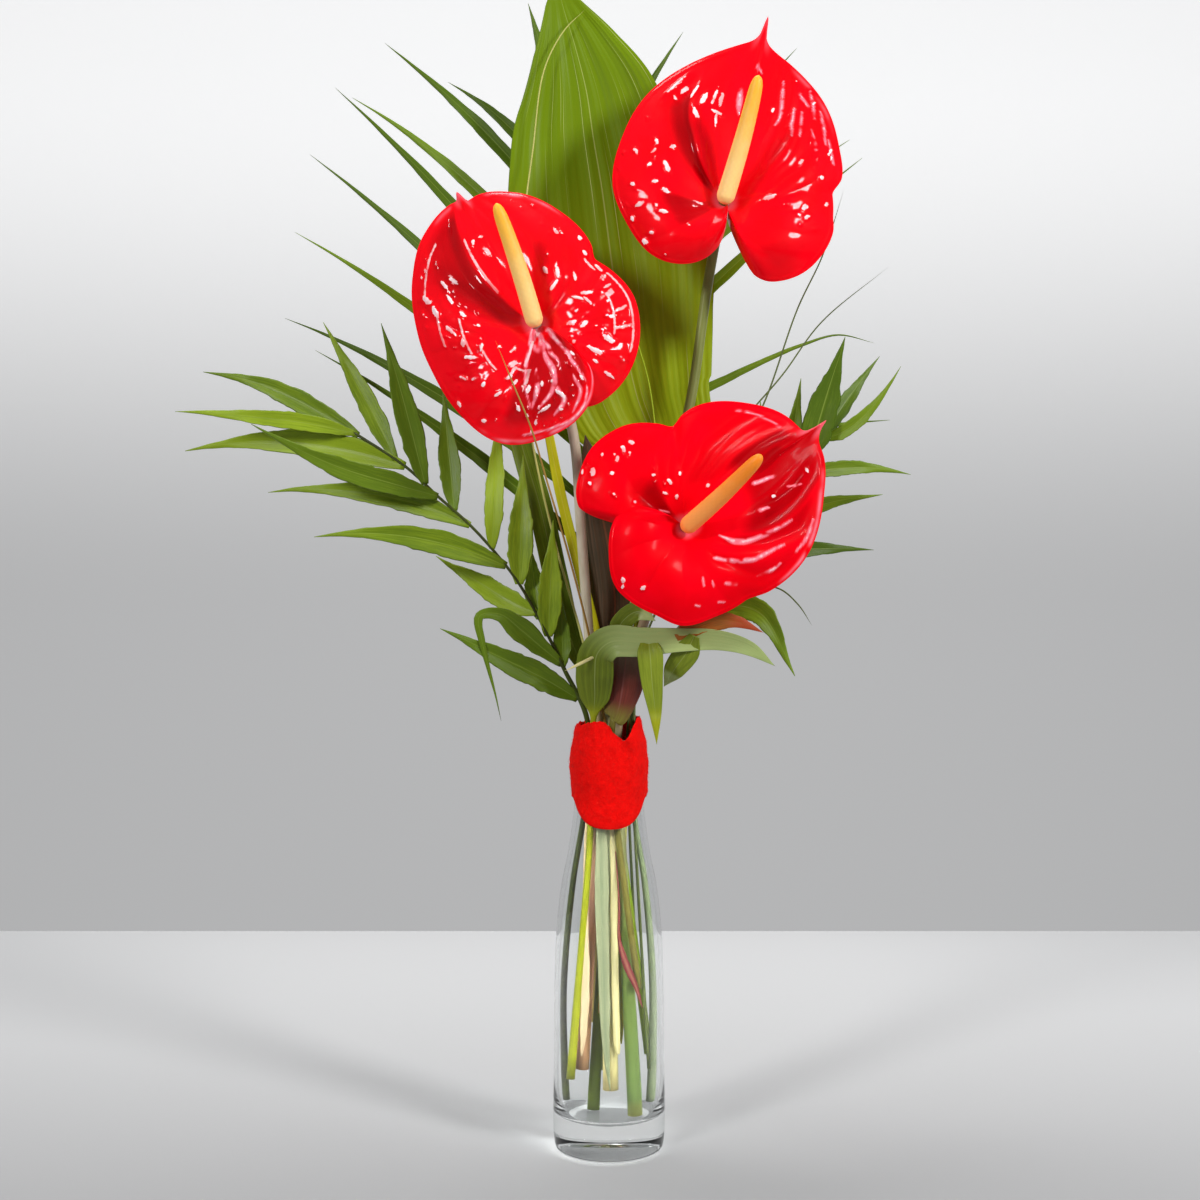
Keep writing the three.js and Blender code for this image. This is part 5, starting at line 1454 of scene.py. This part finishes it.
def leaflet_shell(root, item, settings, random):
    """One folded leaflet with a slight wave, its own twist and tone."""
    tip, half, rise = item[1:4]
    corners = [root, item[4], tip] if len(item) > 4 else [root, tip]
    share = np.linspace(0, 1, 9)
    line = spaced(curve(corners, 12), share)
    line[:, 2] += 4 * rise * share * (1 - share)
    drift = settings.leaflet_wave / MM * np.sin(math.pi * share) * random.uniform(-1, 1)
    line[:, 1] += drift * np.sin(2 * math.pi * share + random.uniform(0, 6))
    line[:, 2] += drift * np.cos(1.5 * math.pi * share)
    width = half * smooth_values(share, LEAFLET_WIDTHS)
    if len(item) > 4:
        width = width * (1 - (1 - item[5]) * smoothstep(share, ELBOW_SHARE - 0.1, ELBOW_SHARE + 0.02))
    thickness = np.where(share < 1, 1.3, 0.1)
    stations = np.column_stack([line, width, thickness])
    return blade_shell(
        stations, 6, 10, keel=0.35, twist=random.uniform(-0.35, 0.35), relief=pleats(3, 0.09),
        shade=random.uniform(-1, 1), ragged=0.08,
    )


def frond_shells(frond, settings, random):
    """The rib of a frond and its leaflets."""
    rib = curve([*upright(frond["feet"], frond["slot"]), *frond["rib"]], 14)
    share = lengths(rib)
    above_neck = smoothstep(rib[:, 2], NECK_HIGH, NECK_HIGH + 60)
    radius = flared(rib, frond["rib_radius"], frond["foot_radius"]) * (1 - 0.45 * above_neck)
    shaft = tube_shell(rib, radius, 16, {
        "across": 0 * share, "along": share, "broad": 0 * share, "shade": -1 + 0 * share, "back": 0 * share,
    }, 0.03, 5)
    steps = 14
    above = curve([(*frond["slot"], NECK_HIGH), *frond["rib"]], steps)
    shells = [shaft]
    for item in frond["leaflets"]:
        at = item[0] * steps
        low = int(min(at, len(above) - 2))
        root = above[low] + (above[low + 1] - above[low]) * (at - low)
        shells.append(leaflet_shell(root, item, settings, random))
    return shells


class BOUQUET_OT_leaves(bpy.types.Operator):
    """Builds the broad leaf and the narrow coloured leaves"""
    bl_idname = "bouquet.leaves"
    bl_label = "Leaves"

    def execute(self, context):
        finishes = leaf_finishes()
        for name, leaf in LEAVES.items():
            columns = leaf.get("columns", 28)
            stations = [*stalk(leaf["foot"], leaf["slot"], leaf["petiole"]), *leaf["stations"]]
            shell = blade_shell(stations, 14, columns, cup=leaf["cup"], relief=RELIEFS[name], thin=0.45)
            piece(f"{name}_blade", [shell], finishes[leaf["finish"]], [name])
        collar = COLLAR_LEAF
        main = [*stalk(collar["foot"], collar["slot"], collar["petiole"]), *collar["stations"]]
        shells = [blade_shell(main, 12, 24, cup=collar["cup"], relief=pleats(5, 0.15), thin=0.5)]
        fine = pleats(4, 0.12)
        for i, stations in enumerate(collar["leaflets"]):
            shade = 0.5 - 0.4 * i
            shells.append(blade_shell(stations, 12, 16, keel=0.12, relief=fine, shade=shade, thin=0.5))
        piece("collar_leaf_blade", shells, finishes["collar"], ["collar_leaf"])
        spur = blade_shell(collar["spur"], 12, 16, keel=0.12, thin=0.5)
        piece("collar_spur_blade", [spur], finishes["spur"], [])
        amber = blade_shell(AMBER_LEAFLET, 12, 16, keel=0.15, relief=fine, thin=0.5, ragged=0.08)
        piece("amber_leaflet_blade", [amber], finishes["amber"], [])
        return {"FINISHED"}


class BOUQUET_OT_fronds(bpy.types.Operator):
    """Builds the palm fronds"""
    bl_idname = "bouquet.fronds"
    bl_label = "Palm fronds"

    def execute(self, context):
        settings = context.scene.bouquet_foliage
        finishes = palm_finishes(settings)
        random = np.random.default_rng(LEAFLET_SEED)
        for name, frond in FRONDS.items():
            shells = frond_shells(frond, settings, random)
            piece(f"{name}_leaflets", shells, finishes[frond["finish"]], [name])
        return {"FINISHED"}


GRASS_COLOURS = {
    "cream": ((0.62, 0.6, 0.2), (0.42, 0.42, 0.1)),
    "green": ((0.16, 0.2, 0.05), (0.06, 0.08, 0.02)),
    "tan": ((0.5, 0.3, 0.07), (0.3, 0.16, 0.03)),
    "lime": ((0.5, 0.68, 0.02), (0.34, 0.5, 0.02)),
}
GRASS_FINISH = ("cream", "green", "green", "green", "tan", "lime")


class BOUQUET_OT_bear_grass(bpy.types.Operator):
    """Builds the blades of bear grass"""
    bl_idname = "bouquet.bear_grass"
    bl_label = "Bear grass"

    def execute(self, context):
        finishes = {
            name: leaf_material(f"grass_{name}", light, dark, light, 5, 0.45)
            for name, (light, dark) in GRASS_COLOURS.items()
        }
        for i, (foot, slot, rise) in enumerate(GRASS):
            points = [*upright([foot], slot), *rise]
            last = len(points) - 1
            stations = []
            for k, point in enumerate(points):
                taper = 1 + (GRASS_TIP - 1) * k / last
                size = (GRASS_HALF * taper, GRASS_THICKNESS * taper) if k < last else (0.02, 0.02)
                stations.append((*point, *size))
            name = f"bear_grass_{i + 1}"
            piece(f"{name}_blade", [blade_shell(stations, 12, 6)], finishes[GRASS_FINISH[i]], [name])
        return {"FINISHED"}


# ---- Stage ----

def graded_material(name, axis, places, low, high, glow=0):
    """A matt material that changes evenly from one colour to another between two places on an axis,
    and may glow a little in the same colours."""
    material, tree, shader = finish(name)
    place = node(tree, "SeparateXYZ", {"Vector": place_on(tree)}).outputs[axis]
    graded = mixed(tree, mapped(tree, place, *places), low, high)
    fill(tree, shader, {
        "Base Color": graded,
        "Emission Color": graded,
        "Emission Strength": glow,
        "Roughness": 0.8,
        "Specular IOR Level": 0.2,
    })
    return material


def backdrop(name, corners, material):
    """One flat face of the stage."""
    mesh = bpy.data.meshes.new(name)
    mesh.from_pydata(corners, [], [range(len(corners))])
    mesh.materials.append(material)
    made = bpy.data.objects.new(name, mesh)
    bpy.context.scene.collection.objects.link(made)


def lamp(name, place, target, size, power):
    """A round white lamp that faces the target."""
    data = bpy.data.lights.new(name, "AREA")
    data.shape = "DISK"
    data.size = size
    data.energy = power
    made = bpy.data.objects.new(name, data)
    made.location = place
    made.rotation_euler = (Vector(target) - Vector(place)).to_track_quat("-Z", "Y").to_euler()
    bpy.context.scene.collection.objects.link(made)


class BOUQUET_OT_stage(bpy.types.Operator):
    """Sets the floor, the wall, the lamps and the camera"""
    bl_idname = "bouquet.stage"
    bl_label = "Stage"

    def execute(self, context):
        settings = context.scene.bouquet_stage
        # The floor ends behind the object like a table, and the wall stands far behind that.
        edge, near, far, wide, low, high = 0.62, -2.5, 2.6, 3.5, -2.0, 4.0
        # Painted light: the floor is graded darker before the vase and the wall paler upward, and the wall
        # glows.
        floor = graded_material("pale_floor", "Y", (-0.45, 0.6), settings.floor_near, settings.floor_far)
        wall = graded_material(
            "pale_wall", "Z", (0.29, 1.42), settings.wall_colour, settings.wall_top, settings.wall_glow)
        backdrop("floor", [(-wide, near, 0), (wide, near, 0), (wide, edge, 0), (-wide, edge, 0)], floor)
        backdrop("wall", [(-wide, far, low), (wide, far, low), (wide, far, high), (-wide, far, high)], wall)
        middle = (0.02, -0.03, 0.42)
        lamp("key_lamp", (1.09, -0.96, 1.0), middle, 0.38, settings.key_power)
        lamp("fill_lamp", (-1.0, -1.2, 1.0), middle, 0.36, settings.fill_power)
        lamp("top_lamp", (-0.2, 0.1, 1.7), middle, 0.5, settings.top_power)
        world = bpy.data.worlds.new("studio")
        world.use_nodes = True
        background = world.node_tree.nodes["Background"]
        fill(world.node_tree, background, {"Color": (0.9, 0.92, 0.95), "Strength": 0.25})
        context.scene.world = world
        context.scene.view_settings.view_transform = "Standard"
        data = bpy.data.cameras.new("camera")
        data.lens, data.sensor_width = 50, 36
        camera = bpy.data.objects.new("camera", data)
        camera.location = (-0.0051, -settings.camera_distance, settings.camera_height)
        camera.rotation_euler = (math.pi / 2, 0, 0)
        context.scene.collection.objects.link(camera)
        context.scene.camera = camera
        return {"FINISHED"}


# ---- Panel and registration ----

OPERATORS = (
    BOUQUET_OT_stage, BOUQUET_OT_vase, BOUQUET_OT_sleeve, BOUQUET_OT_flower_stems, BOUQUET_OT_sheaths,
    BOUQUET_OT_spathes, BOUQUET_OT_spadices, BOUQUET_OT_leaves, BOUQUET_OT_fronds, BOUQUET_OT_bear_grass,
)
SETTINGS = {
    "bouquet_holder": BouquetHolderSettings,
    "bouquet_flowers": BouquetFlowerSettings,
    "bouquet_foliage": BouquetFoliageSettings,
    "bouquet_stage": BouquetStageSettings,
}


class BOUQUET_PT_sidebar(bpy.types.Panel):
    """Lists the bouquet's pieces and their settings"""
    bl_idname = "BOUQUET_PT_sidebar"
    bl_label = "Bouquet"
    bl_space_type = "VIEW_3D"
    bl_region_type = "UI"
    bl_category = "Bouquet"

    def draw(self, context):
        layout = self.layout
        for key, group in SETTINGS.items():
            box = layout.box()
            box.label(text=group.__doc__)
            for name in group.__annotations__:
                box.prop(getattr(context.scene, key), name)
        for operator in OPERATORS:
            layout.operator(operator.bl_idname)


def register():
    for group in SETTINGS.values():
        bpy.utils.register_class(group)
    for operator in OPERATORS:
        bpy.utils.register_class(operator)
    bpy.utils.register_class(BOUQUET_PT_sidebar)
    for key, group in SETTINGS.items():
        setattr(bpy.types.Scene, key, bpy.props.PointerProperty(type=group))


def unregister():
    for key in SETTINGS:
        delattr(bpy.types.Scene, key)
    bpy.utils.unregister_class(BOUQUET_PT_sidebar)
    for operator in reversed(OPERATORS):
        bpy.utils.unregister_class(operator)
    for group in reversed(SETTINGS.values()):
        bpy.utils.unregister_class(group)


def main():
    """Builds the whole bouquet and its stage."""
    register()
    for operator in OPERATORS:
        group, name = operator.bl_idname.split(".")
        getattr(getattr(bpy.ops, group), name)()
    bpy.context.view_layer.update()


if __name__ == "__main__":
    main()
